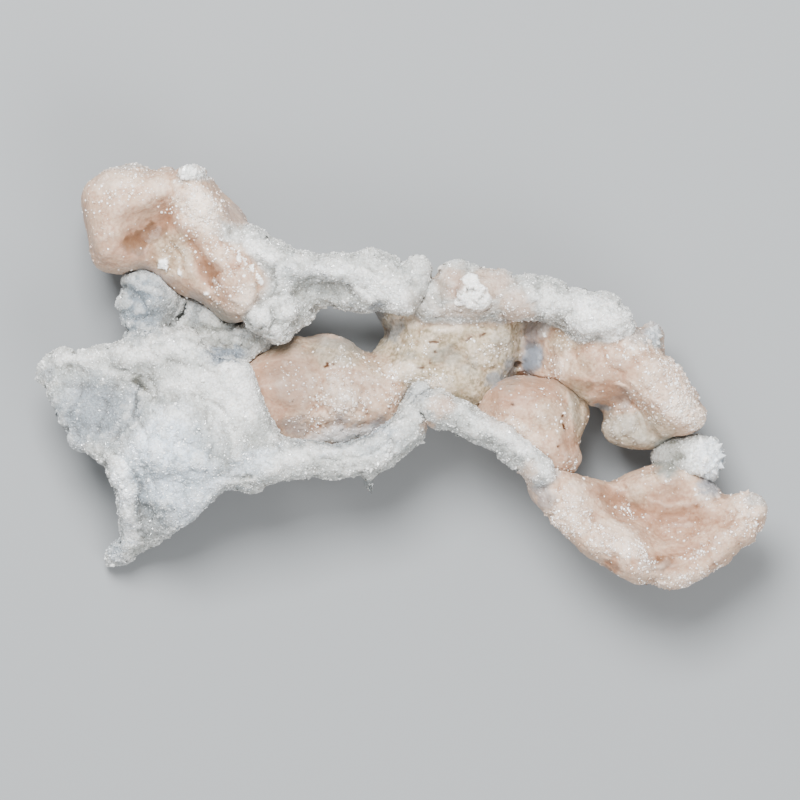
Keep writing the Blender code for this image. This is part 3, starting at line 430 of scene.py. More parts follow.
EVEN = [  # quartz that is smooth and sugar-fine, without mounds
    (-48, -8, 24, 40, 0.8, -15), (-92, -9, 30, 24, 0.7, -20), (-60, 4, 30, 10, 0.5), (80, -24, 12, 14, 1),
    (-76, 22, 18, 24, 0.4), (6, 24, 10, 14, 0.6), (-23, 26, 20, 7, 0.8, -8), (-62, -38, 26, 12, 0.5, 35),
]
RUST = [  # brown streaks and specks: (half width, route)
    (0.3, [(8.5, 10), (9.6, 10.3), (11, 10.1)]), (0.28, [(19.5, 10.5), (21, 11.6)]),
    (0.28, [(23.6, 11.9), (25.2, 12.8)]), (0.25, [(5.2, 2.4), (6.9, 2.6)]), (0.3, [(8.6, 4.1), (8.8, 3.9)]),
    (0.35, [(-22, 3.8), (-21.9, 3)]), (0.3, [(-22.8, 2.8), (-22.6, 2.7)]),
    (0.25, [(-20.3, 3.6), (-20.1, 3.5)]), (0.3, [(33.1, -8.3), (33.5, -8.6)]),
    (0.3, [(46.9, -21.2), (47.1, -21)]), (0.3, [(48, -12.2), (48.2, -11.8)]),
    (0.3, [(36.7, 16.6), (37.1, 16.5)]), (0.3, [(48.4, -14.5), (48.8, -16)]),
    (0.3, [(10.1, 7.3), (10.3, 7.1)]),
]


def patch(places, x, y, wide, high, turn=0.0):
    """1 in the middle of an oval seen from above, falling smoothly to 0 at its edge."""
    angle = math.radians(turn)
    across = (places[:, 0] - x) * math.cos(angle) + (places[:, 1] - y) * math.sin(angle)
    along = (places[:, 1] - y) * math.cos(angle) - (places[:, 0] - x) * math.sin(angle)
    return 1 - step_up(np.hypot(across / (wide / 2), along / (high / 2)), *OVAL_EDGE)


def patches(places, ovals):
    """The strongest of several ovals at each place."""
    total = np.zeros(len(places))
    for x, y, wide, high, strength, *turn in ovals:
        total = np.maximum(total, patch(places, x, y, wide, high, *turn) * strength)
    return total


def node_shares(places, nodes):
    """How much each place belongs to each node, from 0 to 1, by how near the solids lie."""
    weights = {}
    for node in nodes:
        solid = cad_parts[node].data
        tree = BVHTree.FromPolygons([v.co for v in solid.vertices], [p.vertices for p in solid.polygons])
        low, high = (np.array(corner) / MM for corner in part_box(node))
        close = np.all((places > low - SHARE_REACH) & (places < high + SHARE_REACH), axis=1)
        gap = np.full(len(places), FAR)
        gap[close] = [tree.find_nearest(place * MM)[3] / MM for place in places[close]]
        weights[node] = np.exp(-((gap / MINERAL_REACH) ** 2)) + 1e-9
    every = sum(weights.values())
    return {node: weight / every for node, weight in weights.items()}


def share_of(shares, wanted):
    """How much each place belongs to the wanted nodes together."""
    return sum(share * (node in wanted) for node, share in shares.items())


def minerals(skin, shares):
    """How much of each mineral there is at each point of a skin."""
    places = places_of(skin)
    top = np.maximum(step_up(normals_of(skin)[:, 2], *TOP_SLOPES), step_up(places[:, 2], *TOP_HEIGHTS))
    wander = sum(
        (np.stack([soft_noise(places, size, seed + axis) for axis in range(3)], axis=1) - 0.5) * reach
        for size, seed, reach in WANDER
    )
    ragged = places + wander
    quartz = share_of(shares, QUARTZ_NODES)
    matrix = share_of(shares, ("matrix_block",))
    druse = np.maximum(quartz * (1 - patches(ragged, CHALCEDONY_SHOWS)), patches(ragged, CRUST_OVER) * top)
    chalk = step_up(patches(places + wander * 0.5, CHALK), 0.2, 0.6) * (1 - patches(places, CHALK_HOLES))
    rust = np.zeros(len(places))
    for half, route in RUST:
        gap, _ = route_gap(places, route, RUST_REACH)
        rust = np.maximum(rust, 2 * np.exp(-((gap / half) ** 2)))
    return {
        "druse": np.clip(druse, 0, 1),
        "frost": np.clip(patches(ragged, FROST) * top - druse, 0, 1),
        "milky": patches(ragged, MILKY),
        "grey": patches(ragged, SEE_THROUGH_GREY_AND_PAINTED_SHADE),
        "cool": patches(places + wander * 2, COOL),
        "matrix": np.maximum(matrix, patches(ragged, CREAM)) * (1 - druse * 0.7),
        "warm": patches(ragged, WARM),
        "blue": patches(ragged, BLUE_GREY_AND_PAINTED_SHADE),
        "chalk": chalk * top,
        "rust": np.clip(rust, 0, 1),
        "glints": patches(ragged, GLINTS) * top,
        "even": patches(ragged, EVEN),
    }


# ---------------------------------------------------------------- carving

FORMS = {  # which solids each table below is for
    "knob_and_crust": ("chalcedony_knob", "upper_bridge", "upper_ledge"),
    "sheet_and_lower_rail": ("quartz_sheet", "lower_rail"),
    "fan_and_slanting_rail": ("chalcedony_fan", "slanting_rail"),
    "middle_lump": ("chalcedony_lump",),
    "matrix": ("matrix_block",),
    "right_knob": ("right_chalcedony_knob",),
    "shoulder": ("chalcedony_shoulder",),
    "hanging_lobe": ("grey_lobe",),
    "stem": ("quartz_stem",),
    "back_wall": ("quartz_wall",),
    "stalactite": ("quartz_stalactite",),
}

# Lines: (width, height, sharpness, route), up from the skin, or down where the height is below zero.
# A sharpness of 1 gives a crease, 2 a soft fold and 4 a flat band.
SLIT = (1.5, -5, 4, [(-64.8, 21.4), (-65.8, 18.6), (-67.4, 16.2)])  # between the stem and the back wall
LINES = {
    "knob_and_crust": [
        (4, -1.1, 2, [(-62, 39), (-59, 33), (-55.5, 27), (-52, 23), (-48, 20)]),
        (0.9, -1.3, 2, [(-68.6, 39.4), (-67, 37.6), (-65.6, 35.4)]),
        (0.8, -0.8, 2, [(-65.4, 34.5), (-65, 32)]),
        (3, -0.5, 2, [(-77, 33), (-74, 36), (-75, 39), (-78, 41)]),
        (2.5, 0.7, 2, [(-66.5, 57), (-66.3, 53), (-67.3, 49), (-65.5, 45)]),
        (2, -0.7, 1, [(-68.5, 58), (-68.2, 54), (-69, 51)]),
        (4, -0.5, 2, [(-56, 48), (-55.5, 43), (-52, 39)]),
        (2.5, -0.9, 1, [(-33, 36), (-38, 33), (-37, 28), (-40, 23), (-46, 21)]),
        (1.3, -1.4, 2, [(-41.6, 14.6), (-40.8, 15.2)]), (1.3, -1.4, 2, [(-39.4, 12.6), (-37.6, 12.3)]),
        (2.2, -1, 1, [(-36.5, 20), (-34.5, 16.5), (-38, 15.5)]),
        (2, 0.5, 2, [(-34, 30.5), (-28, 31), (-21, 30.8), (-15, 29.5), (-12.5, 25.5), (-9, 22.5)]),
        (3, -0.6, 1, [(-12, 34), (-9, 31), (-4, 29)]), (1.6, -2.4, 2, [(9.4, 35), (9.3, 31), (9.6, 29)]),
        (2.4, -0.7, 1, [(11.5, 28), (12, 22), (13, 18)]),
        (2.4, -0.7, 1, [(33, 31), (31.5, 26), (30.5, 20)]),
        (2.2, -0.8, 1, [(41, 29), (41.5, 24), (40, 18)]), (2.2, -0.7, 1, [(50, 26), (51, 21), (48, 17)]),
        (2, -0.5, 1, [(58, 22), (61, 18), (60, 13)]), (1.8, -0.8, 1, [(17.5, 28), (16.5, 24), (18, 19)]),
    ],
    "sheet_and_lower_rail": [
        (2.2, -0.9, 4, [(-79.4, -1.2), (-78.2, -3)]), (2.4, -0.9, 4, [(-78.2, -3), (-75.8, -4.2)]),
        (1.6, -1.4, 2, [(-78.4, -4), (-78.8, -9), (-79.3, -12)]),
        (3, 0.8, 2, [(-107, 2), (-100, 4.5), (-92, 2.5), (-85, 0), (-80, -1)]),
        (3, 0.9, 2, [(-102, 7), (-97, 5.6), (-90, 7), (-84, 9)]),
        (2.6, 1, 2, [(-81.5, 11), (-75, 10.5), (-69, 12), (-63, 12.5), (-59, 8), (-57, 5)]),
        (2.6, 0.8, 2, [(-52, 3.5), (-47.5, 3.5), (-45, 1), (-43, -4), (-40.5, -10), (-38, -16)]),
        (2.5, -0.6, 1, [(-74, 7), (-67, 4), (-60, 3), (-54, 0)]),
        (3.5, -0.8, 1, [(-88, -8), (-90, -14), (-92, -20)]),
        (3.5, -0.7, 1, [(-96, 0), (-96, -6), (-99, -12)]),
        (4, -0.9, 1, [(-78, -24), (-76, -31), (-75.5, -38), (-75, -46)]),
        (4, -0.7, 1, [(-58, -12), (-56, -20), (-59, -30)]),
        (3.5, 0.6, 2, [(-51, -8), (-50, -17), (-48, -25)]),
        (2.4, 0.9, 2, [(-74, -50.5), (-66, -45), (-60, -40.5), (-53, -33.5), (-44, -31)]),
        (2.6, 0.9, 2, [(-38, -18), (-31, -20.5), (-22, -22), (-13, -21), (-6, -18), (-1, -13), (3, -7)]),
        (2.2, 0.7, 2, [(-35, -30), (-26, -29), (-14, -28.5), (-6, -26), (0, -22), (5, -17)]),
        (2.6, -0.9, 1, [(-24, -25), (-16, -24.5), (-8, -22.5), (-3, -19)]),
        (0.8, -0.7, 2, [(2.2, -9.2), (4.4, -6.4)]), (0.8, -0.7, 2, [(1.6, -7), (3.6, -5)]),
    ],
    "fan_and_slanting_rail": [
        (7, -1.2, 2, [(66, -38), (72, -42.5), (80, -45), (88, -45), (95, -43)]),
        (2.2, 0.6, 2, [(59, -40), (64, -42), (69, -43.5), (73, -46), (77, -48.5)]),
        (1.6, 0.5, 2, [(74, -37.5), (80, -38.6), (87, -38), (92, -36)]),
        (1.8, 0.6, 2, [(77, -50.5), (84, -50), (91, -47), (97, -43.5), (103, -41.5)]),
        (1.6, 0.5, 2, [(76, -57), (82, -56.4), (88, -54.5), (92.5, -51.5), (95, -49)]),
        (1.4, -0.5, 1, [(75, -52.5), (83, -53.6), (90, -51.4)]),
        (2.2, -0.9, 1, [(95, -37.5), (93, -34), (90, -31)]),
        (2, -0.8, 1, [(66, -46), (66.5, -50), (64, -54)]),
        (2, -0.8, 1, [(74.5, -50), (76.5, -54), (76, -60)]),
        (1.8, -0.7, 1, [(67, -33), (69.5, -37), (71, -40)]),
        (1.6, 0.5, 2, [(72, -31), (77, -29.5), (81, -29.6)]),
        (1.4, -0.4, 1, [(99, -44.5), (104, -43.2), (108.5, -43.6)]),
        (1.3, -0.4, 1, [(98, -41), (103, -40), (108, -40)]),
        (3, -0.8, 1, [(41, -30), (43.5, -36), (44.5, -40)]),
        (2.4, -0.6, 1, [(55, -32), (50, -35), (46, -39)]),
        (2.4, -0.7, 1, [(31, -20), (36, -22), (41, -26), (46, -28)]),
        (2.2, 0.7, 2, [(24, -16), (30, -18), (36, -21)]), (2.6, -0.9, 1, [(58, -43), (56, -48), (53, -51)]),
        (1.6, -0.9, 2, [(61.5, -55.5), (64.5, -58)]),
    ],
    "middle_lump": [
        (3.4, -0.5, 2, [(-31.5, 10), (-28, 7.5), (-25.5, 4), (-24.2, 0), (-24.5, -6), (-27, -11)]),
        (3, 0.6, 2, [(-34, 8.5), (-31, 6), (-28.5, 2), (-27.5, -4), (-29.5, -9.5)]),
        (3, -0.6, 2, [(-41, 7), (-34, 8.8), (-27, 9)]), (2.4, -0.4, 2, [(-20, 4), (-14, 1.5), (-8, 0)]),
        (2.2, 0.5, 2, [(-21, -4), (-17, -7), (-11, -8)]),
    ],
    "matrix": [
        (3, -0.6, 2, [(-4, 12), (2, 11), (6, 14), (12, 16.5), (22, 17)]),
        (3.4, -0.5, 2, [(11, 3), (14, 6), (18, 8)]), (2.4, -0.4, 2, [(28, 16), (30, 9), (28, 3)]),
        (3.2, 0.5, 2, [(6, 12), (14, 13.4), (22, 14), (27, 12)]),
        (1.6, -0.5, 1, [(18, 10), (21, 11.8), (25, 13)]), (3, 0.4, 2, [(0, 1), (8, 1), (14, -1)]),
        (2.4, -0.5, 1, [(12, -4), (17, -4), (21, -8)]),
    ],
    "right_knob": [
        (1.3, -0.3, 1, [(25, -6), (31, -4.4), (38, -4.6), (44, -6.4)]),
        (1.3, 0.3, 2, [(28, -8), (35, -6.6), (42, -7.6)]),
        (2.4, -0.6, 1, [(46, -8), (48.2, -12), (49.2, -16.5)]),
        (2.2, 0.9, 2, [(50.5, -6), (51.5, -12), (51, -18)]),
        (2, -0.8, 1, [(54, -7), (54.5, -13), (52.6, -19), (52.4, -26)]),
        (2, 0.7, 2, [(55.8, -9), (54.8, -16), (53.2, -23)]),
        (2, -0.6, 1, [(34, -12), (40, -14), (44, -19), (47, -24)]),
        (1.4, -0.5, 1, [(50, -21), (50.8, -25), (50, -28)]),
        (1.4, 0.4, 2, [(48.6, -20), (49.3, -24), (48.6, -27)]),
        (1.6, -0.5, 1, [(23, -9), (27, -11.4), (32, -11.6)]),
    ],
    "shoulder": [
        (3, -1.1, 1, [(52, 8), (53, 3), (56, 0)]), (3, -0.8, 1, [(60, 9), (61, 4), (66, 1)]),
        (1.8, -0.7, 1, [(35, 9), (35, 1)]), (1.8, -0.9, 1, [(42.6, 10), (42.6, 1)]),
        (1.6, -0.6, 1, [(36, 9.8), (42, 9.8)]),
        (1.6, 0.7, 2, [(46.3, 7), (48.2, 4.5), (47.4, 1.5), (45.2, 0.6)]),
        (1.4, -0.6, 1, [(44.8, 5), (45.6, 3)]), (1.2, 0.8, 2, [(64, -3), (67.2, -4.2), (69.6, -7)]),
        (1.2, -0.7, 1, [(65.4, -4.6), (67.8, -6.2), (69.4, -9)]),
        (1.2, 0.4, 2, [(66.5, -1), (69.4, -2.6), (71.4, -5.4)]),
        (2, -1, 1, [(71, -9), (74, -12), (75.5, -16), (79, -19)]),
        (2.4, -0.7, 1, [(72, 8.5), (75, 7), (78, 7.4)]), (2, -0.5, 1, [(70, 4), (76, 0), (84, -6)]),
        (1.6, -0.6, 1, [(84, -11), (88, -10), (91, -9)]),
        (1.6, -0.5, 1, [(83, -16), (87, -14.5), (90.5, -15)]),
        (2.2, -0.9, 1, [(50, -3), (52, -7), (55, -10)]), (1.5, -0.5, 1, [(48, 12), (51, 8), (50, 4)]),
    ],
    "hanging_lobe": [
        (2, -0.8, 1, [(64, -9), (67, -12), (66, -17), (70, -20)]),
        (2, 0.5, 2, [(63, -16), (67, -19), (74, -19.5)]), (1.6, -0.6, 1, [(70, -10), (72, -15), (75, -18)]),
    ],
    "stem": [
        SLIT,
        (2, -0.8, 1, [(-84, 27), (-79, 25), (-76, 20)]), (2, -0.8, 1, [(-85, 19), (-80, 17), (-74, 18)]),
        (2.4, 0.7, 2, [(-81, 29), (-77, 26), (-72, 25)]), (2, -0.8, 1, [(-74, 12), (-72, 15), (-68, 15)]),
    ],
    "back_wall": [
        SLIT,
        (2.4, -1, 1, [(-62, 16), (-56, 14), (-50, 15)]), (2.4, -1, 1, [(-57, 9), (-51, 9.5), (-46, 8)]),
        (2.4, 0.7, 2, [(-64, 12), (-58, 12), (-53, 12)]),
    ],
}

# Ripples: (spacing, height, reach, route), fine waves that run along a route on both sides of it.
RIPPLES = {
    "fan_and_slanting_rail": [
        (1.25, 0.2, 4.6, [(59, -37.6), (64, -40.4), (69, -42.4), (74, -45), (79, -47.4)]),
        (1.5, 0.08, 6.5, [(73, -40), (80, -42.6), (88, -42.4), (96, -40.6)]),
        (1.4, 0.12, 3.4, [(74, -55.6), (82, -54.6), (89, -52), (95, -48)]),
    ],
    "sheet_and_lower_rail": [(1.3, 0.18, 2.6, [(-9, -18), (-2, -12.6), (3, -6.4)])],
    "right_knob": [(1.6, 0.14, 4, [(24, -6), (31, -5.4), (38, -5.8), (44, -8)])],
    "shoulder": [(1.2, 0.14, 2.4, [(64, -2.4), (68, -4.6), (71, -8)])],
}

# Ledges: (step on the left of the route, step on its right, reach, route).
LEDGES = {
    "knob_and_crust": [
        (0.2, -0.8, 9, [(-86, 41), (-82, 43), (-77, 45.6), (-73, 47.2), (-69.8, 49.8)]),
        (0.7, -0.5, 6, [(-69.6, 50), (-67.6, 45.5), (-64, 41.5), (-60.5, 38), (-57, 34.5), (-54, 32)]),
        (-1, 0.3, 6, [(-54.5, 55.5), (-53.8, 51), (-51.8, 47), (-46, 45)]),
        (0.4, -1.1, 6, [(-33.5, 24), (-30.5, 27), (-27, 29), (-20, 28.8), (-16, 27.8), (-13.8, 25.6),
            (-11.5, 23), (-6.5, 20.6)]),
        (-0.2, 0.4, 4, [(8, 31), (6.6, 27), (4.5, 24), (2, 20), (1, 18.6)]),
        (-0.9, 0.4, 3.5, [(-37.5, 23.4), (-33, 23.6), (-31, 20.5), (-32.4, 16)]),
        (0.7, -0.5, 4, [(-52, 39.5), (-47.5, 36.4), (-42.5, 35.6), (-38, 31.4), (-37, 27.6)]),
        (0.8, 0, 3, [(-66.5, 55.4), (-63, 56.6), (-58.6, 57.4)]),
        (0.6, -0.6, 3.5, [(5, 21), (9, 18.6), (14, 19.6), (20, 19.4), (25.5, 20.6)]),
    ],
    "sheet_and_lower_rail": [
        (-1.5, 0.6, 5, [(-84.6, -25), (-82, -27), (-80, -30.5), (-79, -33), (-79.8, -37), (-79.2, -42),
            (-78.4, -48)]),
        (0.3, -0.5, 7, [(-103, -2), (-97, -1.5), (-91, -2.4), (-85, -3), (-80, -5)]),
        (0.9, -0.5, 5, [(-79.4, -5), (-79, -9), (-80.4, -15), (-84, -19)]),
        (0.6, -0.7, 4, [(-89, -51), (-85, -51.4), (-81, -53)]),
        (-0.6, 0.3, 4, [(-60, -7), (-54, -10), (-50, -16)]),
    ],
    "fan_and_slanting_rail": [
        (-1, 0.5, 6, [(57, -34), (61, -39.5), (67, -43.6), (73, -47.6), (77.6, -50)]),
        (0.4, -0.6, 5, [(63.5, -33.4), (68, -37), (71, -39.6), (75, -40.4), (82, -40.6), (90, -38.6),
            (94, -37)]),
        (0.3, -0.3, 4, [(100, -43), (96, -47), (90, -51.6), (84, -54), (77, -55.6)]),
        (-0.6, 0.6, 3, [(45.6, -29), (47, -33), (45, -37.6), (44.6, -41)]),
        (0.7, -0.5, 3, [(44, -24), (48, -27), (52, -29.6)]),
    ],
    "middle_lump": [
        (-0.4, 0.3, 6, [(-33, 9.6), (-29, 7.4), (-26.6, 4), (-25.4, -1), (-26, -7), (-29, -11)]),
    ],
    "matrix": [
        (-0.5, 0.3, 4, [(0, 16.4), (6, 15.4), (12, 14.4), (18, 15), (26, 14)]),
        (0.4, -0.6, 4, [(21, 9.6), (20.6, 6), (22, 3.4), (26, 3)]),
    ],
    "right_knob": [(-0.5, 0.4, 5, [(44, -3), (48.4, -8), (50, -14), (48.6, -19)])],
    "shoulder": [
        (0.9, -1.5, 5, [(57, -8.4), (62, -8.6), (65, -6.4), (66.6, -4), (69.6, -7), (73.6, -11.6),
            (75, -16.4), (80, -19)]),
        (-0.4, 0.3, 4, [(44, 13), (43.6, 9), (42, 5), (43, 1)]),
        (0.4, -0.3, 4, [(49, -2), (51.5, -5), (56, -8)]),
    ],
}

# Lumps: (x, y, radius, rise), dents where the rise is below zero.
LUMPS = {
    "knob_and_crust": [
        (-49.5, 25, 7, 1.6), (-42, 17, 4, 1.4), (-36, 13, 3.6, 0.9), (-45.5, 20, 3, 0.8), (-57, 45, 6, 0.7),
        (-61, 52, 5, 0.7), (-70, 36, 6, -1), (-80, 55, 7, 0.6), (-73, 57, 5, 0.5), (-87, 59, 4, 0.5),
        (-65, 60.4, 1.8, 0.5), (-60.6, 60.2, 1.8, 0.5), (-45, 30, 4, 0.6), (4.6, 31.6, 4.4, 1),
        (6.2, 26.4, 3.6, 0.9), (3, 21.6, 3.4, 0.9), (15.5, 30.5, 4.8, 1), (-9, 35, 3.4, 0.6),
        (29.5, 28, 4.6, 0.7), (35.5, 22, 6, 0.8), (37.6, 28, 3, 0.7), (46, 23, 5.4, 0.8),
        (56, 17, 6.6, 0.9), (64, 14.6, 5.6, 0.7), (-20, 34, 5, 0.6), (-30, 35, 4, 0.5), (-3, 26, 6.5, 0.8),
        (0, 21.5, 4, 0.6), (-74, 62.6, 2.2, -0.9), (-67.5, 62.6, 1.4, -1), (-57.4, 60.8, 1.8, -1.8),
        (-39.3, 41.9, 1.8, -0.9), (-31.8, 37.9, 1.6, -0.9), (0.9, 34.6, 1.8, -1.2), (10.2, 31, 1.6, -1.8),
        (28.2, 32.3, 1.6, -0.7), (33.3, 30.4, 1.4, -0.7), (-25.4, 20, 2, -1), (49.8, 26.5, 1.6, -0.9),
        (56.7, 25.6, 1.8, -0.9), (66.3, 21.6, 1.8, -0.9), (69.9, 17, 1.4, -1.2), (19.9, 25.4, 0.9, -1.6),
        (21.5, 25.9, 0.7, -1.3), (22.8, 22, 0.7, -1), (22, 24.5, 5.4, 1), (-55.6, 28.5, 1.8, 0.5),
        (-58, 24.6, 1.8, 0.5), (-70.6, 34, 2.4, 0.9),
    ],
    "sheet_and_lower_rail": [
        (-78.2, -2.6, 3.2, -0.6), (-78, -19.6, 3, 0.8), (-73, -21.5, 2.8, 0.7), (-69.5, -16, 2.8, 0.7),
        (-68, -11.6, 2.6, 0.6), (-97.5, 7.4, 1.6, -1), (-106.8, -4, 1.4, -0.8), (-100.4, -16.8, 1.6, -1),
        (-88.6, -27, 2, -1.4), (-85.8, -48.3, 2, -1.2), (-66.3, -46, 1.4, -0.7), (-40.2, -33.2, 1.8, -0.9),
        (-25.8, -30.6, 1.8, -0.7), (-12.3, -30.2, 1.8, -0.8), (-75.6, -12.4, 2.6, 0.7),
        (-63, -17, 2.6, 0.5), (-60, -25.4, 3, 0.8), (-66, -28.4, 3, 0.7), (-72, -27, 3.4, 0.7),
        (-70.5, -33.6, 2.6, 0.5), (-62, -35, 3, 0.5), (-65, -22, 2.6, 0.6), (-57, -19, 2.6, 0.4),
        (-55, -27, 3, 0.5), (-79, -15, 2, 0.5), (-83, 6, 4, 0.6), (-66, -3, 3, 0.3), (-101, 6, 3.4, 0.7),
        (-94, 4.6, 3, 0.5), (-84, -31, 3, 0.6), (-82.6, -36, 2.4, 0.6), (-82, -42, 2.6, 0.6),
        (-81.4, -47.5, 2.4, 0.6), (-63.4, 11, 3.6, 0.8), (-70, 8, 3.4, 0.4), (-76, 8, 4, 0.5),
        (-91, -12, 6, -0.7), (-86, -6, 4, -0.5), (-29, -27, 3.6, 0.5), (-17, -27, 3, 0.5),
        (-6, -25, 3.4, 0.6), (1, -17, 4, 0.6), (4.6, -11, 3, 0.4),
    ],
    "fan_and_slanting_rail": [
        (83, -45, 7, -0.7), (49, -39, 5, 0.5), (68, -52, 4, 0.8), (73.6, -57, 4, 0.8), (60, -50, 5, 0.5),
        (66, -57, 3.4, 0.5), (82, -61, 4, 0.5), (90, -58, 4, 0.5), (97, -53, 4.6, 0.7), (104, -47, 4, 0.5),
        (106, -39.6, 4, 0.7), (102, -37.6, 3, 0.5), (95, -48, 3, 0.7), (80, -28.6, 4, 0.6),
        (86, -29, 2.6, 0.7), (70, -35.4, 3.6, 0.6), (50.5, -31, 4, 0.5), (42, -27, 3.4, 0.5),
        (31, -17, 3.4, 0.5), (25, -14, 3, 0.4), (55, -38, 4, 0.5), (11, -9, 5, 0.5), (8.6, -15.4, 3, 0.8),
        (97.2, -35.2, 1.8, -0.9), (107.6, -48, 1.8, -1), (100.2, -55.2, 1.6, -0.8), (74.7, -63, 2.4, -0.8),
        (34.2, -28.8, 1.4, -0.7), (27.9, -23.2, 1.6, -0.8), (43.6, -42.3, 1.6, -0.8),
        (46.6, -46.4, 1.4, -0.7),
    ],
    "middle_lump": [
        (-34, -1, 8, 0.9), (-17, -8, 4, 0.7), (-8, -7, 4, 0.7), (-10, 0, 4, 0.5), (-20, 7.6, 6, 0.6),
        (-27, 10.4, 4, -0.9), (-2, -5, 4, 0.5), (-25, -15.6, 4, -0.8), (-24, -12.6, 2.6, 0.6),
        (-13, -12, 3, 0.5), (-34.6, 3.6, 1.2, 0.4),
    ],
    "matrix": [
        (24.4, 7, 5, 0.6), (8, 8.6, 3.6, 0.4), (14.6, 13, 3.6, 0.4), (16, 5, 5, -0.5), (0, 15, 4, -0.9),
        (2, 6, 4, 0.4), (30, 13, 3.6, 0.7), (10.3, 7.1, 0.9, -0.6), (21, 0, 4, 0.6), (35.2, 3.2, 1.3, -2.5),
        (-5.2, 13.2, 2, -1.2), (-9.2, 6.4, 1.6, -1.4),
    ],
    "right_knob": [(36, -8, 9, 0.5), (45, -11, 5, 0.5), (52.6, -24, 3, 0.6), (48.4, -13.6, 2, -0.3)],
    "shoulder": [
        (75.6, 12.6, 4, 0.8), (62, -3.6, 7, -1), (57, 6, 5, -0.6), (82, -8, 8, 0.6),
        (88.6, -12.6, 2.8, 0.7), (85, -15, 3, 0.5), (90, -9.6, 2.6, 0.5), (49, 9, 3.4, 0.7),
        (46.4, 3.6, 2.6, 0.5), (39, 5, 3.6, 0.8), (40.5, 15, 5, 1.6), (70, 9, 4, 0.6), (66, 4.6, 3, 0.6),
        (35.2, 3.2, 1.3, -3), (79, 3, 5, 0.4), (72, 15.2, 1.6, -1.2), (79.7, 6.8, 1.6, -1),
        (82.4, 4.2, 1.4, -0.7), (87.5, -2.3, 1.4, -0.7), (90.5, -7.8, 1.8, -0.9), (89.8, -18, 1.6, -1),
    ],
    "hanging_lobe": [(67, -14, 4, 0.8), (66, -7.6, 3, 0.7), (74, -18, 4, 0.6), (62.6, -16, 3, 0.5)],
    "stem": [
        (-83.3, 26.6, 1.4, -1.2), (-83.8, 23.7, 1, -1.2), (-83.3, 14.1, 1.8, -1.2), (-83, 22, 3, 0.8),
        (-82.4, 16.4, 2.8, 0.7), (-80, 19, 4, 0.6), (-76, 27, 4, 0.5),
    ],
    "back_wall": [(-57, 18, 4, 0.7), (-51, 12, 3.6, 0.6), (-64, 12, 3, 0.5), (-48, 17, 3, -0.8)],
    "stalactite": [(92, -25, 4.5, 0.8), (81, -24, 6, 0.9), (84.6, -29, 4, 1.4), (80, -20, 4, 0.5)],
}


def smooth_route(route):
    """A smooth curve through a route's points."""
    points = [np.array(point, float) for point in route]
    points = [points[0]] + points + [points[-1]]
    curve = []
    for before, start, end, after in zip(points, points[1:], points[2:], points[3:]):
        for t in np.arange(CURVE_STEPS) / CURVE_STEPS:
            bend = (2 * before - 5 * start + 4 * end - after) * t * t
            twist = (3 * start - before - 3 * end + after) * t**3
            curve.append((2 * start + (end - before) * t + bend + twist) / 2)
    return curve + [points[-1]]


def route_gap(places, route, reach):
    """How far each place lies from a route, as seen from above, and on which side: 1 on its left."""
    gap = np.full(len(places), FAR)
    side = np.zeros(len(places))
    curve = smooth_route(route) if len(route) > 2 else np.array(route, float)
    low, high = np.min(curve, axis=0) - reach, np.max(curve, axis=0) + reach
    close = np.flatnonzero(np.all((places[:, :2] > low) & (places[:, :2] < high), axis=1))
    here_gap, here_side = gap[close], side[close]
    for start, end in zip(curve, curve[1:]):
        along = end - start
        off = places[close, :2] - start
        share = np.clip(off @ along / max(along @ along, 1e-9), 0, 1)
        here = np.linalg.norm(off - share[:, None] * along, axis=1)
        nearer = here < here_gap
        here_gap[nearer] = here[nearer]
        here_side[nearer] = np.sign(along[0] * off[nearer, 1] - along[1] * off[nearer, 0])
    gap[close], side[close] = here_gap, here_side
    return gap, side


def carve(skin, shares):
    """Gives the skin its own lines, ripples, ledges and lumps on the faces that look up."""
    places = places_of(skin)
    normals = normals_of(skin)
    ragged = places + (soft_noise(places, 1.8, 41)[:, None] - 0.5) * (1.0, -1.0, 0.0)
    rise = np.zeros(len(places))
    out = np.zeros(len(places))
    for form, solids in FORMS.items():
        own = share_of(shares, solids)
        if not np.any(own):
            continue
        for left, right, reach, route in LEDGES.get(form, ()):
            gap, side = route_gap(ragged, route, reach)
            fade = np.clip(1 - gap / reach, 0, 1) ** 2
            rise += own * np.where(side > 0, left, right) * fade * np.clip(gap / (reach * LEDGE_EDGE), 0, 1)
        for width, height, sharpness, route in LINES.get(form, ()):
            gap, _ = route_gap(ragged, route, width * 3)
            rise += own * height * np.exp(-((gap / (width / 2)) ** sharpness))
        for spacing, height, reach, route in RIPPLES.get(form, ()):
            gap, _ = route_gap(ragged, route, reach)
            rise += own * height * np.sin(gap * 2 * math.pi / spacing) * np.clip(1 - gap / reach, 0, 1)
        for x, y, radius, height in LUMPS.get(form, ()):
            near = ((ragged[:, 0] - x) ** 2 + (ragged[:, 1] - y) ** 2) / radius**2
            out += own * height * np.clip(1 - near, 0, 1) ** 0.7
    places[:, 2] += rise * step_up(normals[:, 2], 0.0, 0.5)
    move_to(skin, places + normals * (out * step_up(normals[:, 2], -0.4, 0.2))[:, None])


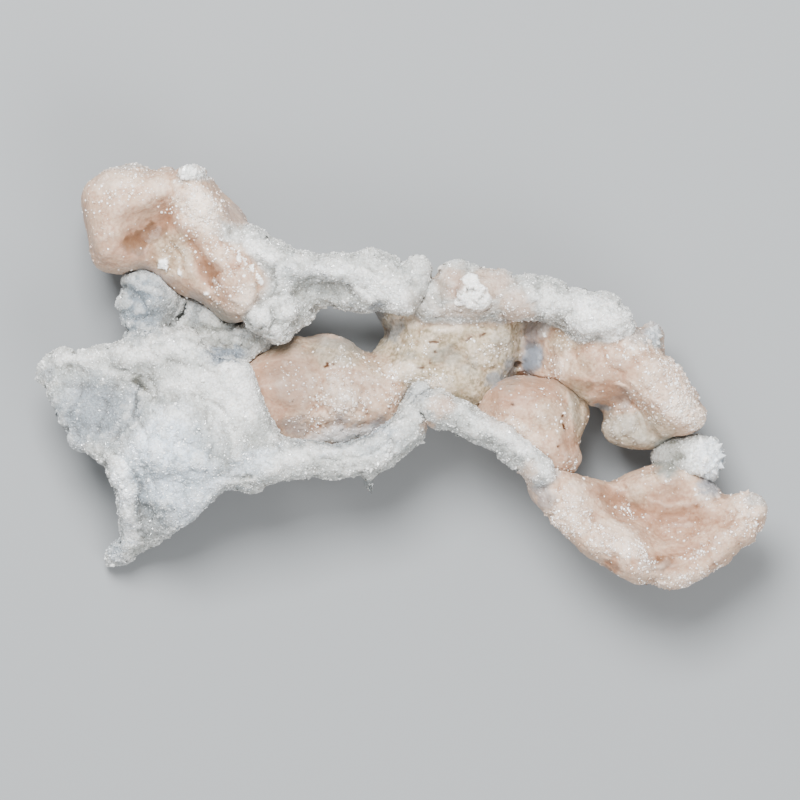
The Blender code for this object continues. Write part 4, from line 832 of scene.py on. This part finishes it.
def roughen(skin, levels):
    """Swells the skin in the lumps of its minerals: mounds and sugar grain on quartz, soft dents elsewhere.

    Each kind of lump is a noise of its real size in millimetres, stretched to its height.
    """
    places = places_of(skin)
    normals = normals_of(skin)
    druse, frost, matrix = levels["druse"], levels["frost"], levels["matrix"]
    mounds = (rough_noise(places, 6.5, 20) - 0.5) * 1.5 + domes(places, 3.0, 21) * 0.75 - 0.5
    sugar = domes(places, 1.35, 23) * 0.4 - 0.2
    height = druse * (1 - 0.75 * levels["even"]) * (mounds + sugar)
    dents = (soft_noise(places, 5.0, 24) - 0.5) * 0.6 + (rough_noise(places, 1.5, 25) - 0.5) * 0.5
    grit = levels["glints"] * (rough_noise(places, 1.3, 35) - 0.5) * 1.6
    height += np.clip(1 - druse - matrix, 0, 1) * (dents + grit)
    height += frost * ((rough_noise(places, 1.9, 29) - 0.5) * 0.8 + domes(places, 1.2, 30) * 0.4)
    crags = (rough_noise(places, 2.6, 26) - 0.5) * 0.9 + domes(places, 1.3, 27) * 0.3 - 0.15
    height += matrix * crags
    flakes = (rough_noise(places * (1, 1.5, 1), 1.7, 28) - 0.35) * 2.6
    height += levels["chalk"] * flakes
    rim = np.exp(-((normals[:, 2] / 0.5) ** 2)) * (places[:, 2] > 6)
    scallops = (domes(places, 3.4, 33) - 0.85) * 0.9 + (domes(places, 1.7, 34) - 0.7) * 0.35
    height += rim * scallops * (0.45 + 0.55 * np.maximum(druse, frost))
    move_to(skin, places + normals * height[:, None])


def hollows(skin):
    """How deep each point lies under its surroundings: 1 in a hollow, 0.5 on a flat and 0 on a ridge."""
    places = places_of(skin)
    depth = ((softened(skin, places, HOLLOW_ROUNDS) - places) * normals_of(skin)).sum(axis=1)
    return np.clip(0.5 + depth / (2 * HOLLOW_DEPTH), 0, 1)


# ---------------------------------------------------------------- quartz points

SIDES = 6
POINT_SPREAD = 0.32  # how unlike in radius the points of a druse are
LEVELS = ("druse", "frost", "milky", "grey", "cool", "matrix", "warm", "blue", "chalk", "rust", "hollow")


class Grower:
    """Scatters points over one skin, the same way each time."""

    def __init__(self, skin, seed):
        self.chance = np.random.RandomState(seed)
        mesh = skin.data
        mesh.calc_loop_triangles()
        corners = np.empty(len(mesh.loop_triangles) * 3, np.int32)
        mesh.loop_triangles.foreach_get("vertices", corners)
        self.corners = corners.reshape(-1, 3)
        self.places = places_of(skin)
        self.normals = normals_of(skin)
        a, b, c = (self.places[self.corners[:, i]] for i in range(3))
        self.area = np.linalg.norm(np.cross(b - a, c - a), axis=1) / 2

    def roots(self, per_mm2):
        """Random places on the skin, where per_mm2 gives how many stand on a square millimetre."""
        count = self.area * per_mm2[self.corners].mean(axis=1)
        face = np.repeat(np.arange(len(count)), self.chance.poisson(count))
        mix = self.chance.dirichlet((1, 1, 1), len(face))
        place = (self.places[self.corners[face]] * mix[..., None]).sum(axis=1)
        return place, self.normals[self.corners[face, 0]], self.corners[face, 0]


def unit(vectors):
    return vectors / np.linalg.norm(vectors, axis=-1, keepdims=True)


def point_meshes(place, way, radius, rise, shaft, chance):
    """Six-sided points as arrays: a ring at each root, one at its shoulder if it has a shaft, and a tip."""
    side = unit(np.cross(way, unit(chance.normal(size=way.shape))))
    other = np.cross(way, side)
    turn = np.arange(SIDES) * math.tau / SIDES
    uneven = 1 + chance.uniform(-0.2, 0.2, (len(place), SIDES))
    ring = side[:, None] * np.cos(turn)[:, None] + other[:, None] * np.sin(turn)[:, None]
    ring = ring * (uneven * radius[:, None])[..., None]
    root = place[:, None] + ring - way[:, None] * (radius * 0.5)[:, None, None]
    lean = ring[:, 0] * chance.uniform(-0.25, 0.25, (len(place), 1))
    tip = (place + way * (shaft + rise - radius * 0.5)[:, None] + lean)[:, None]
    rings = [root] if not shaft.any() else [root, root + way[:, None] * shaft[:, None, None]]
    verts = np.concatenate(rings + [tip], axis=1)
    first = np.arange(SIDES)
    after = (first + 1) % SIDES
    top = SIDES * len(rings)
    start = (np.arange(len(place)) * (top + 1))[:, None, None]
    caps = np.stack([first + top - SIDES, after + top - SIDES, np.full(SIDES, top)], axis=1)
    faces = (start + caps).reshape(-1, 3).tolist()
    if len(rings) == 2:
        walls = np.stack([first, after, after + SIDES, first + SIDES], axis=1)
        faces += (start + walls).reshape(-1, 4).tolist()
    return verts, faces


def points_object(name, verts, faces, levels, source, glint):
    """One object of many points, each with the minerals of the skin under it."""
    each = verts.shape[1]
    verts = np.clip(verts.reshape(-1, 3), CAD_LOW - (OVERHANG, OVERHANG, 0), CAD_HIGH + OVERHANG)
    mesh = bpy.data.meshes.new(name)
    mesh.from_pydata(verts * MM, [], faces)
    for label in LEVELS:
        keep(mesh, label, np.repeat(levels[label][source], each))
    keep(mesh, "tip", np.tile(np.arange(each) // SIDES * SIDES / (each - 1), len(source)))
    keep(mesh, "glint", np.repeat(glint, each))
    return new_object(name, mesh)


def grow_points(name, skin, levels, per_mm2, seed, size, stand, tilt, shaft=0.0, glow=(0, 1)):
    """A druse of quartz points on a skin: size is their mean radius, stand their height over it."""
    grower = Grower(skin, seed)
    place, normal, source = grower.roots(per_mm2)
    chance = grower.chance
    radius = np.clip(chance.lognormal(math.log(size), POINT_SPREAD, len(place)), size * 0.5, size * 2.0)
    way = unit(normal + chance.normal(scale=tilt, size=normal.shape))
    rise = radius * stand * chance.uniform(0.7, 1.3, len(place))
    verts, faces = point_meshes(place, way, radius, rise, radius * shaft, chance)
    dark = np.maximum(levels["blue"], levels["grey"])[source]
    # glint: how far each point is painted white as a glint, less over grey and blue
    glint = chance.uniform(*glow, len(place)) * (1 - 0.5 * dark)
    return points_object(name, verts, faces, levels, source, glint)


# Single large crystals: (x, y, way it points, radius, length).
LARGE_CRYSTALS = {
    "stalactite": [
        (90.6, -19.2, (-0.2, 1, 0.1), 0.9, 1.9), (93.2, -19, (0.2, 1, 0), 1, 2.1),
        (95.6, -20.8, (0.8, 0.8, 0.1), 1, 2.2), (96.6, -24, (1, 0, 0.1), 1.1, 2.2),
        (96.2, -27.2, (1, -0.5, 0.05), 1, 2.1), (94.6, -29, (0.7, -0.9, 0.1), 0.9, 1.8),
        (92.2, -30.2, (0.3, -1, 0), 0.9, 1.8), (89.6, -29.6, (-0.2, -1, 0.2), 0.8, 1.4),
        (88.4, -20.8, (-0.4, 0.7, 0.8), 0.7, 1.2), (91, -21.8, (0, 0.4, 1), 0.7, 1.2),
        (93.8, -21.8, (0.4, 0.5, 1), 0.8, 1.3), (95, -25.4, (0.6, 0, 1), 0.8, 1.3),
        (93.2, -27.6, (0.4, -0.5, 1), 0.8, 1.2), (90.6, -27.4, (-0.1, -0.6, 1), 0.7, 1.1),
        (89, -24.4, (-0.5, 0, 1), 0.6, 1), (92, -24.6, (0.2, 0, 1), 0.9, 1.3),
        (93.4, -24.2, (0.4, 0.3, 1), 0.7, 1.2),
    ],
    "sheet_and_lower_rail": [
        (-4.4, -22.6, (0.3, -0.2, 1), 1, 1.8), (-3.6, -24.2, (0.4, -0.6, 0.8), 0.8, 1.6),
        (-18.6, -25.8, (-0.2, -0.1, 1), 0.8, 1.4), (-16.4, -26.2, (0.2, -0.2, 1), 0.7, 1.4),
        (-6.8, -26.8, (0, -0.8, 0.7), 0.7, 1.4), (-8.6, -28.6, (-0.2, -1, 0.4), 0.8, 1.6),
        (-83.4, -27, (-0.5, 0.2, 0.9), 1, 1.6), (-83, -30.4, (0.3, 0, 1), 1.1, 1.6),
        (-84, -33.4, (-0.5, 0, 0.9), 0.9, 1.5), (-82.4, -36, (0.2, 0.2, 1), 1, 1.4),
        (-83.4, -39.4, (-0.4, 0, 0.9), 0.9, 1.6), (-81.6, -42.6, (0.2, 0, 1), 0.9, 1.4),
        (-82.4, -46, (-0.4, -0.1, 1), 0.8, 1.4), (-81, -49, (0.3, 0.1, 1), 0.8, 1.3),
        (-109, -3, (-1, 0.3, 0.3), 0.6, 1.2), (-108, 3, (-1, 0.6, 0.3), 0.6, 1.2),
    ],
    "knob_and_bridge": [
        (-66.2, 61, (-0.2, 1, 0.4), 0.8, 1.8), (-64.6, 61.6, (0.1, 1, 0.4), 0.9, 1.8),
        (-62.8, 61.4, (0.2, 1, 0.5), 0.8, 1.7), (-60.8, 61.2, (0.5, 1, 0.4), 0.9, 1.8),
        (-65.4, 59, (-0.3, 0.4, 1), 0.8, 1.2), (-63.2, 58.6, (0.1, 0.2, 1), 0.9, 1.2),
        (-61, 58.8, (0.4, 0.2, 1), 0.8, 1.2), (-88.6, 58.4, (-0.6, 1, 0.2), 0.6, 1.8),
        (-87.4, 59.6, (-0.3, 1, 0.2), 0.6, 1.8),
    ],
    "fan_and_slanting_rail": [
        (102.6, -33.6, (0.1, 1, 0.4), 0.6, 1.4), (103.8, -34, (0.3, 1, 0.5), 0.6, 1.3),
        (105.2, -34.8, (0.6, 1, 0.5), 0.55, 1.2), (101.6, -34.4, (-0.5, 0.8, 0.7), 0.5, 1.1),
        (103, -35.2, (0, 0.4, 1), 0.6, 1), (104.6, -36, (0.3, 0.2, 1), 0.5, 1),
    ],
    "ledge_matrix_and_shoulder": [
        (75, 14.6, (-0.3, 0.6, 0.9), 0.9, 1.6), (77, 15, (0.3, 0.9, 0.6), 0.9, 1.8),
        (78, 12.6, (0.9, 0.2, 0.7), 0.9, 1.6), (76, 12, (0.1, 0, 1), 1, 1.4),
        (77.6, 10, (0.8, -0.4, 0.7), 0.8, 1.4), (74.6, 10.6, (-0.4, -0.2, 1), 0.8, 1.2),
        (75.4, 16.4, (-0.1, 1, 0.4), 0.8, 1.5), (89.6, -9.4, (0.8, 0.3, 0.7), 0.7, 1.3),
        (90.4, -12, (1, -0.1, 0.5), 0.7, 1.3),
    ],
}
LARGE_SEED = 300


def skin_point(places, x, y):
    """The highest point of a skin near this spot, as seen from above."""
    near = np.hypot(places[:, 0] - x, places[:, 1] - y) < 0.8
    return int(np.argmax(np.where(near, places[:, 2], -1)))


def set_crystals(name, skin, levels, rows, seed):
    """Single large crystals, set where their rows say."""
    places = places_of(skin)
    chance = np.random.RandomState(seed)
    source = np.array([skin_point(places, x, y) for x, y, _, _, _ in rows])
    way = unit(np.array([way for _, _, way, _, _ in rows], float))
    radius = np.array([radius for _, _, _, radius, _ in rows])
    length = np.array([length for _, _, _, _, length in rows])
    root = places[source] - way * (radius * 0.8)[:, None]
    verts, faces = point_meshes(root, way, radius, length * 0.8, length * 0.3 + radius * 0.7, chance)
    return points_object(name, verts, faces, levels, source, chance.uniform(0, 0.8, len(rows)))


def hanging_crystal(skin):
    """The one clear crystal that hangs from the lower edge of the lower rail."""
    places = places_of(skin)
    near = np.abs(places[:, 0] - HANGING_X) < 0.6
    root = places[np.argmin(np.where(near, places[:, 1], FAR))]
    way = unit(np.array([HANGING_WAY]))
    size = (np.array([length]) for length in (HANGING_RADIUS, HANGING_TIP, HANGING_SHAFT))
    verts, faces = point_meshes(root[None], way, *size, np.random.RandomState(5))
    faces.append(tuple(reversed(range(SIDES))))
    mesh = bpy.data.meshes.new("hanging_crystal")
    mesh.from_pydata(verts.reshape(-1, 3) * MM, [], faces)
    return new_object("hanging_crystal", mesh)


# ---------------------------------------------------------------- materials


def linear(code):
    """The linear colour of an sRGB hex code."""
    parts = [int(code[i : i + 2], 16) / 255 for i in (1, 3, 5)]
    return [p / 12.92 if p <= 0.04045 else ((p + 0.055) / 1.055) ** 2.4 for p in parts] + [1.0]


def add(tree, kind, settings=(), **links):
    """Adds a node with its settings, and sets or links its inputs by name, or by number after an i."""
    node = tree.nodes.new(kind)
    for name, value in dict(settings).items():
        setattr(node, name, value)
    for name, value in links.items():
        key = int(name[1:]) if name[0] == "i" and name[1:].isdigit() else name.replace("_", " ")
        if isinstance(value, bpy.types.NodeSocket):
            tree.links.new(value, node.inputs[key])
        else:
            node.inputs[key].default_value = value
    return node


def new_material(name):
    made = bpy.data.materials.new(name)
    made.use_nodes = True
    made.node_tree.nodes.clear()
    return made, made.node_tree


MIX = ("ShaderNodeMix", {"data_type": "RGBA"})
MULTIPLY = ("ShaderNodeMix", {"data_type": "RGBA", "blend_type": "MULTIPLY"})
SMOOTH_RANGE = ("ShaderNodeMapRange", {"interpolation_type": "SMOOTHSTEP"})
QUARTZ_IOR = 1.54  # chalcedony is fine quartz, and bends light as much

# The mottling of the stone: (size in millimetres, detail, where it starts, where it is full, least).
MOTTLES = {
    "cloud": (5.0, 4.0, 0.35, 0.65, 0.0),
    "fleck": (1.0, 3.0, 0.35, 0.65, 0.0),
    "puff": (3.6, 3.0, 0.38, 0.6, 0.55),
}
TONES = {  # the mottling that leads from each mineral's deeper tone to its paler one
    "pink": ("cloud", "#a98772", "#b69881"),
    "cream": ("cloud", "#80745c", "#9f9075"),
    "glassy": ("cloud", "#a2a5a2", "#b4b6b3"),
    "white": ("fleck", "#e4e6e5", "#f9f9f7"),
}
OVER_ALL = (  # what lies over the stone and its crust alike, from the lowest up
    # the grey and blue below are partly painted shade in recesses, pits and holes
    ("grey", MIX, "#7d7e77"),
    ("blue", MIX, "#7b838b"),
    ("cool", MULTIPLY, "#e5f1ff"),
    ("chalk", MIX, "#fbfaf7"),
)


def mineral_colour(tree):
    """The colour of the stone at each place, from the minerals kept on the mesh, with painted shade in its
    hollows and a painted highlight on its ridges.
    """
    level = {}
    for name in LEVELS:
        level[name] = add(tree, "ShaderNodeAttribute", {"attribute_name": name}).outputs["Fac"]
    place = add(tree, "ShaderNodeTexCoord").outputs["Object"]
    mottle = {}
    for name, (size, detail, start, full, least) in MOTTLES.items():
        noise = add(tree, "ShaderNodeTexNoise", Vector=place, Scale=1 / (size * MM), Detail=detail)
        mottle[name] = add(
            tree, *SMOOTH_RANGE, Value=noise.outputs["Fac"], From_Min=start, From_Max=full, To_Min=least
        ).outputs[0]
    tone = {
        name: add(tree, *MIX, Factor=mottle[by], i6=linear(deep), i7=linear(pale)).outputs[2]
        for name, (by, deep, pale) in TONES.items()
    }
    # the darkest brown is partly the strongest pigment and partly painted shade in the valleys
    strongest_pigment_and_painted_valley_shade = add(tree, *SMOOTH_RANGE, Value=level["warm"], From_Min=0.7, From_Max=1.0).outputs[0]
    pink = tone["pink"]
    for factor, code in ((mottle["fleck"], "#c0a58f"), (level["warm"], "#99735b"), (strongest_pigment_and_painted_valley_shade, "#745640")):
        pink = add(tree, *MIX, Factor=factor, i6=pink, i7=linear(code)).outputs[2]
    matrix = add(tree, *MIX, Factor=mottle["fleck"], i6=tone["cream"], i7=linear("#b7a791")).outputs[2]
    stone = add(tree, *MIX, Factor=level["matrix"], i6=pink, i7=matrix).outputs[2]
    frosted = add(tree, *MIX, Factor=level["frost"], i6=stone, i7=linear("#f1dfce")).outputs[2]
    milk = add(tree, "ShaderNodeMath", {"operation": "MULTIPLY"}, i0=level["milky"], i1=mottle["puff"])
    quartz = add(tree, *MIX, Factor=milk.outputs[0], i6=tone["glassy"], i7=tone["white"]).outputs[2]
    colour = add(tree, *MIX, Factor=level["druse"], i6=frosted, i7=quartz).outputs[2]
    for name, blend, code in OVER_ALL:
        colour = add(tree, *blend, Factor=level[name], i6=colour, i7=linear(code)).outputs[2]
    hollow = level["hollow"]
    # painted shade: the colour darkens where the skin lies in a hollow, warm-tinted on bare chalcedony and
    # grey under quartz
    deep = add(tree, *SMOOTH_RANGE, Value=hollow, From_Min=0.45, From_Max=1.0, To_Max=0.6).outputs[0]
    depth = add(tree, *MIX, Factor=level["druse"], i6=linear("#cdb8a6"), i7=linear("#98938c")).outputs[2]
    shaded = add(tree, *MULTIPLY, Factor=deep, i6=colour, i7=depth).outputs[2]
    # painted highlight: ridges are whitened, more under quartz, partly for the whiter crystal tips there
    high = add(tree, "ShaderNodeMapRange", Value=level["druse"], To_Min=0.08, To_Max=0.3).outputs[0]
    ridge = add(tree, *SMOOTH_RANGE, Value=hollow, From_Min=0.4, From_Max=0.0, To_Max=high).outputs[0]
    with_painted_ridge_highlight = add(tree, *MIX, Factor=ridge, i6=shaded, i7=linear("#e9e9e6")).outputs[2]
    return add(tree, *MIX, Factor=level["rust"], i6=with_painted_ridge_highlight, i7=linear("#4a2a10")).outputs[2]


def grown_stone():
    """Chalcedony, matrix and the quartz crust over them, as grown: waxy where bare, sugary under quartz."""
    made, tree = new_material("waxy chalcedony under drusy quartz")
    place = add(tree, "ShaderNodeTexCoord").outputs["Object"]
    grain = add(tree, "ShaderNodeTexNoise", Vector=place, Scale=1 / (0.6 * MM), Detail=4.0).outputs["Fac"]
    druse = add(tree, "ShaderNodeAttribute", {"attribute_name": "druse"}).outputs["Fac"]
    coarse = add(tree, "ShaderNodeMapRange", Value=druse, To_Min=0.35, To_Max=0.8).outputs[0]
    bump = add(tree, "ShaderNodeBump", Height=grain, Strength=coarse, Distance=0.35 * MM)
    # painted shade between grains: the colour darkens towards the edges of cells about 0.8 mm across, more
    # under quartz
    between = add(tree, "ShaderNodeMapRange", Value=druse, To_Min=0.15, To_Max=0.42).outputs[0]
    crystals = add(tree, "ShaderNodeTexVoronoi", Vector=place, Scale=1 / (0.8 * MM)).outputs["Distance"]
    gaps = add(tree, *SMOOTH_RANGE, Value=crystals, From_Min=0.35, From_Max=0.8, To_Max=between).outputs[0]
    colour = add(tree, *MULTIPLY, Factor=gaps, i6=mineral_colour(tree), i7=linear("#b3a79c")).outputs[2]
    rough = add(tree, "ShaderNodeMapRange", Value=druse, To_Min=0.42, To_Max=0.45).outputs[0]
    shader = add(
        tree, "ShaderNodeBsdfPrincipled", Base_Color=colour, Roughness=rough, IOR=QUARTZ_IOR,
        Specular_IOR_Level=0.25, Subsurface_Weight=0.35, Subsurface_Radius=(1.0, 0.8, 0.65),
        Subsurface_Scale=1.3 * MM, Normal=bump.outputs[0],
    )
    add(tree, "ShaderNodeOutputMaterial", Surface=shader.outputs[0])
    return made


def quartz_points():
    """Quartz crystal as grown: smooth faces that glint, some points clear and others white to the tip,
    partly milky quartz and partly painted glints.
    """
    made, tree = new_material("milky quartz points with painted glints")
    tip = add(tree, "ShaderNodeAttribute", {"attribute_name": "tip"}).outputs["Fac"]
    glint = add(tree, "ShaderNodeAttribute", {"attribute_name": "glint"}).outputs["Fac"]
    clear = add(tree, *SMOOTH_RANGE, Value=glint, From_Min=0.5, From_Max=0.0, To_Max=0.5).outputs[0]
    body = add(tree, *MULTIPLY, Factor=clear, i6=mineral_colour(tree), i7=linear("#c0c0be")).outputs[2]
    # painted glints: points with a high glint value are painted nearly white, partly milky quartz and
    # partly painted sparkle
    milk = add(tree, *SMOOTH_RANGE, Value=glint, From_Min=0.6, From_Max=1.2, To_Max=0.95).outputs[0]
    share = add(tree, "ShaderNodeMath", {"operation": "MULTIPLY_ADD"}, i0=tip, i1=0.2, i2=milk).outputs[0]
    colour = add(tree, *MIX, Factor=share, i6=body, i7=linear("#f8f8f6")).outputs[2]
    shader = add(
        tree, "ShaderNodeBsdfPrincipled", Base_Color=colour, Roughness=0.1, IOR=QUARTZ_IOR,
        Subsurface_Weight=0.2, Subsurface_Radius=(1.0, 0.9, 0.85), Subsurface_Scale=0.6 * MM,
    )
    add(tree, "ShaderNodeOutputMaterial", Surface=shader.outputs[0])
    return made


def clear_quartz():
    """Rock crystal as grown: clear, with smooth glinting faces."""
    made, tree = new_material("clear rock crystal")
    shader = add(
        tree, "ShaderNodeBsdfPrincipled", Base_Color=linear("#f4f8f7"), Roughness=0.04, IOR=QUARTZ_IOR,
        Transmission_Weight=1.0,
    )
    add(tree, "ShaderNodeOutputMaterial", Surface=shader.outputs[0])
    return made


def painted_board():
    """Matt painted board: flat, pale and even."""
    made, tree = new_material("matt painted board")
    shader = add(tree, "ShaderNodeBsdfPrincipled", Base_Color=linear("#85888a"), Roughness=0.9)
    add(tree, "ShaderNodeOutputMaterial", Surface=shader.outputs[0])
    return made


# ---------------------------------------------------------------- the specimen

SKINS = {  # name: (material slot, the solids it stands for)
    "knob_and_bridge": ("quartz", ["chalcedony_knob", "upper_bridge"]),
    "sheet_and_lower_rail": ("quartz", ["quartz_sheet", "lower_rail"]),
    "fan_and_slanting_rail": ("chalcedony", ["chalcedony_fan", "slanting_rail"]),
    "ledge_matrix_and_shoulder": (
        "chalcedony",
        ["upper_ledge", "matrix_block", "chalcedony_shoulder", "grey_lobe", "chalcedony_lump"],
    ),
    "right_knob": ("chalcedony", ["right_chalcedony_knob"]),
    "stem_and_back_wall": ("quartz", ["quartz_stem", "quartz_wall"]),
    "stalactite": ("quartz", ["quartz_stalactite"]),
}
POPULATIONS = {  # the points that grow on every skin, as grow_points takes them
    "sugar": dict(seed=100, size=0.31, stand=1.0, tilt=0.45),
    "crystals": dict(seed=200, size=0.48, stand=0.9, tilt=0.5, shaft=0.25),
    "glints": dict(seed=400, size=0.27, stand=0.8, tilt=0.6, shaft=0.5, glow=(0.2, 1.2)),
}


def form_skin(skin, nodes):
    """Carves and roughens a skin, and gives back the minerals at each of its points."""
    shares = node_shares(places_of(skin), nodes)
    carve(skin, shares)
    levels = minerals(skin, shares)
    roughen(skin, levels)
    levels["hollow"] = hollows(skin)
    for label in LEVELS:
        keep(skin.data, label, levels[label])
    skin.data.polygons.foreach_set("use_smooth", [True] * len(skin.data.polygons))
    return levels


def crowding(skin, levels):
    """How many points of each population stand on a square millimetre, at each point of a skin."""
    places = places_of(skin)
    upward = normals_of(skin)[:, 2]
    druse, frost = levels["druse"], levels["frost"]
    seen = 0.2 + 0.8 * step_up(upward, -0.4, 0.1)
    standing = seen * (places[:, 2] > 1.5)
    rim = np.exp(-((upward / 0.4) ** 2))
    clusters = step_up(rough_noise(places, 5.0, 31), 0.5, 0.62)
    bunches = step_up(rough_noise(places, 2.6, 32), 0.42, 0.6)
    mounded = np.clip(1 - 1.2 * levels["even"], 0, 1)
    bare_glints = levels["glints"] * (0.6 + 2.6 * bunches) * (1 - 0.8 * druse)
    return {
        "sugar": (druse * 1.8 + frost * 0.9 + 0.04) * seen * (places[:, 2] > 0.8),
        "crystals": (druse * mounded * (0.05 + 0.15 * rim + 0.2 * clusters) + frost * 0.15) * standing,
        "glints": (bare_glints + 0.04 * (1 - druse)) * standing,
    }


def dress(piece, material):
    piece.data.materials.clear()
    piece.data.materials.append(material)
    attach(piece, "root")


def main():
    look_down()
    studio()
    stone = grown_stone()
    points = quartz_points()
    for number, (name, (slot, nodes)) in enumerate(SKINS.items()):
        skin = skin_over(name, *nodes)
        levels = form_skin(skin, nodes)
        dress(skin, stone)
        per_mm2 = crowding(skin, levels)
        for kind, habit in POPULATIONS.items():
            own = dict(habit, seed=habit["seed"] + number)
            dress(grow_points(f"{name}_{kind}", skin, levels, per_mm2[kind], **own), points)
        if name in LARGE_CRYSTALS:
            rows = LARGE_CRYSTALS[name]
            large = set_crystals(name + "_large_crystals", skin, levels, rows, LARGE_SEED + number)
            dress(large, points)
        if name == "sheet_and_lower_rail":
            dress(hanging_crystal(skin), clear_quartz())


main()
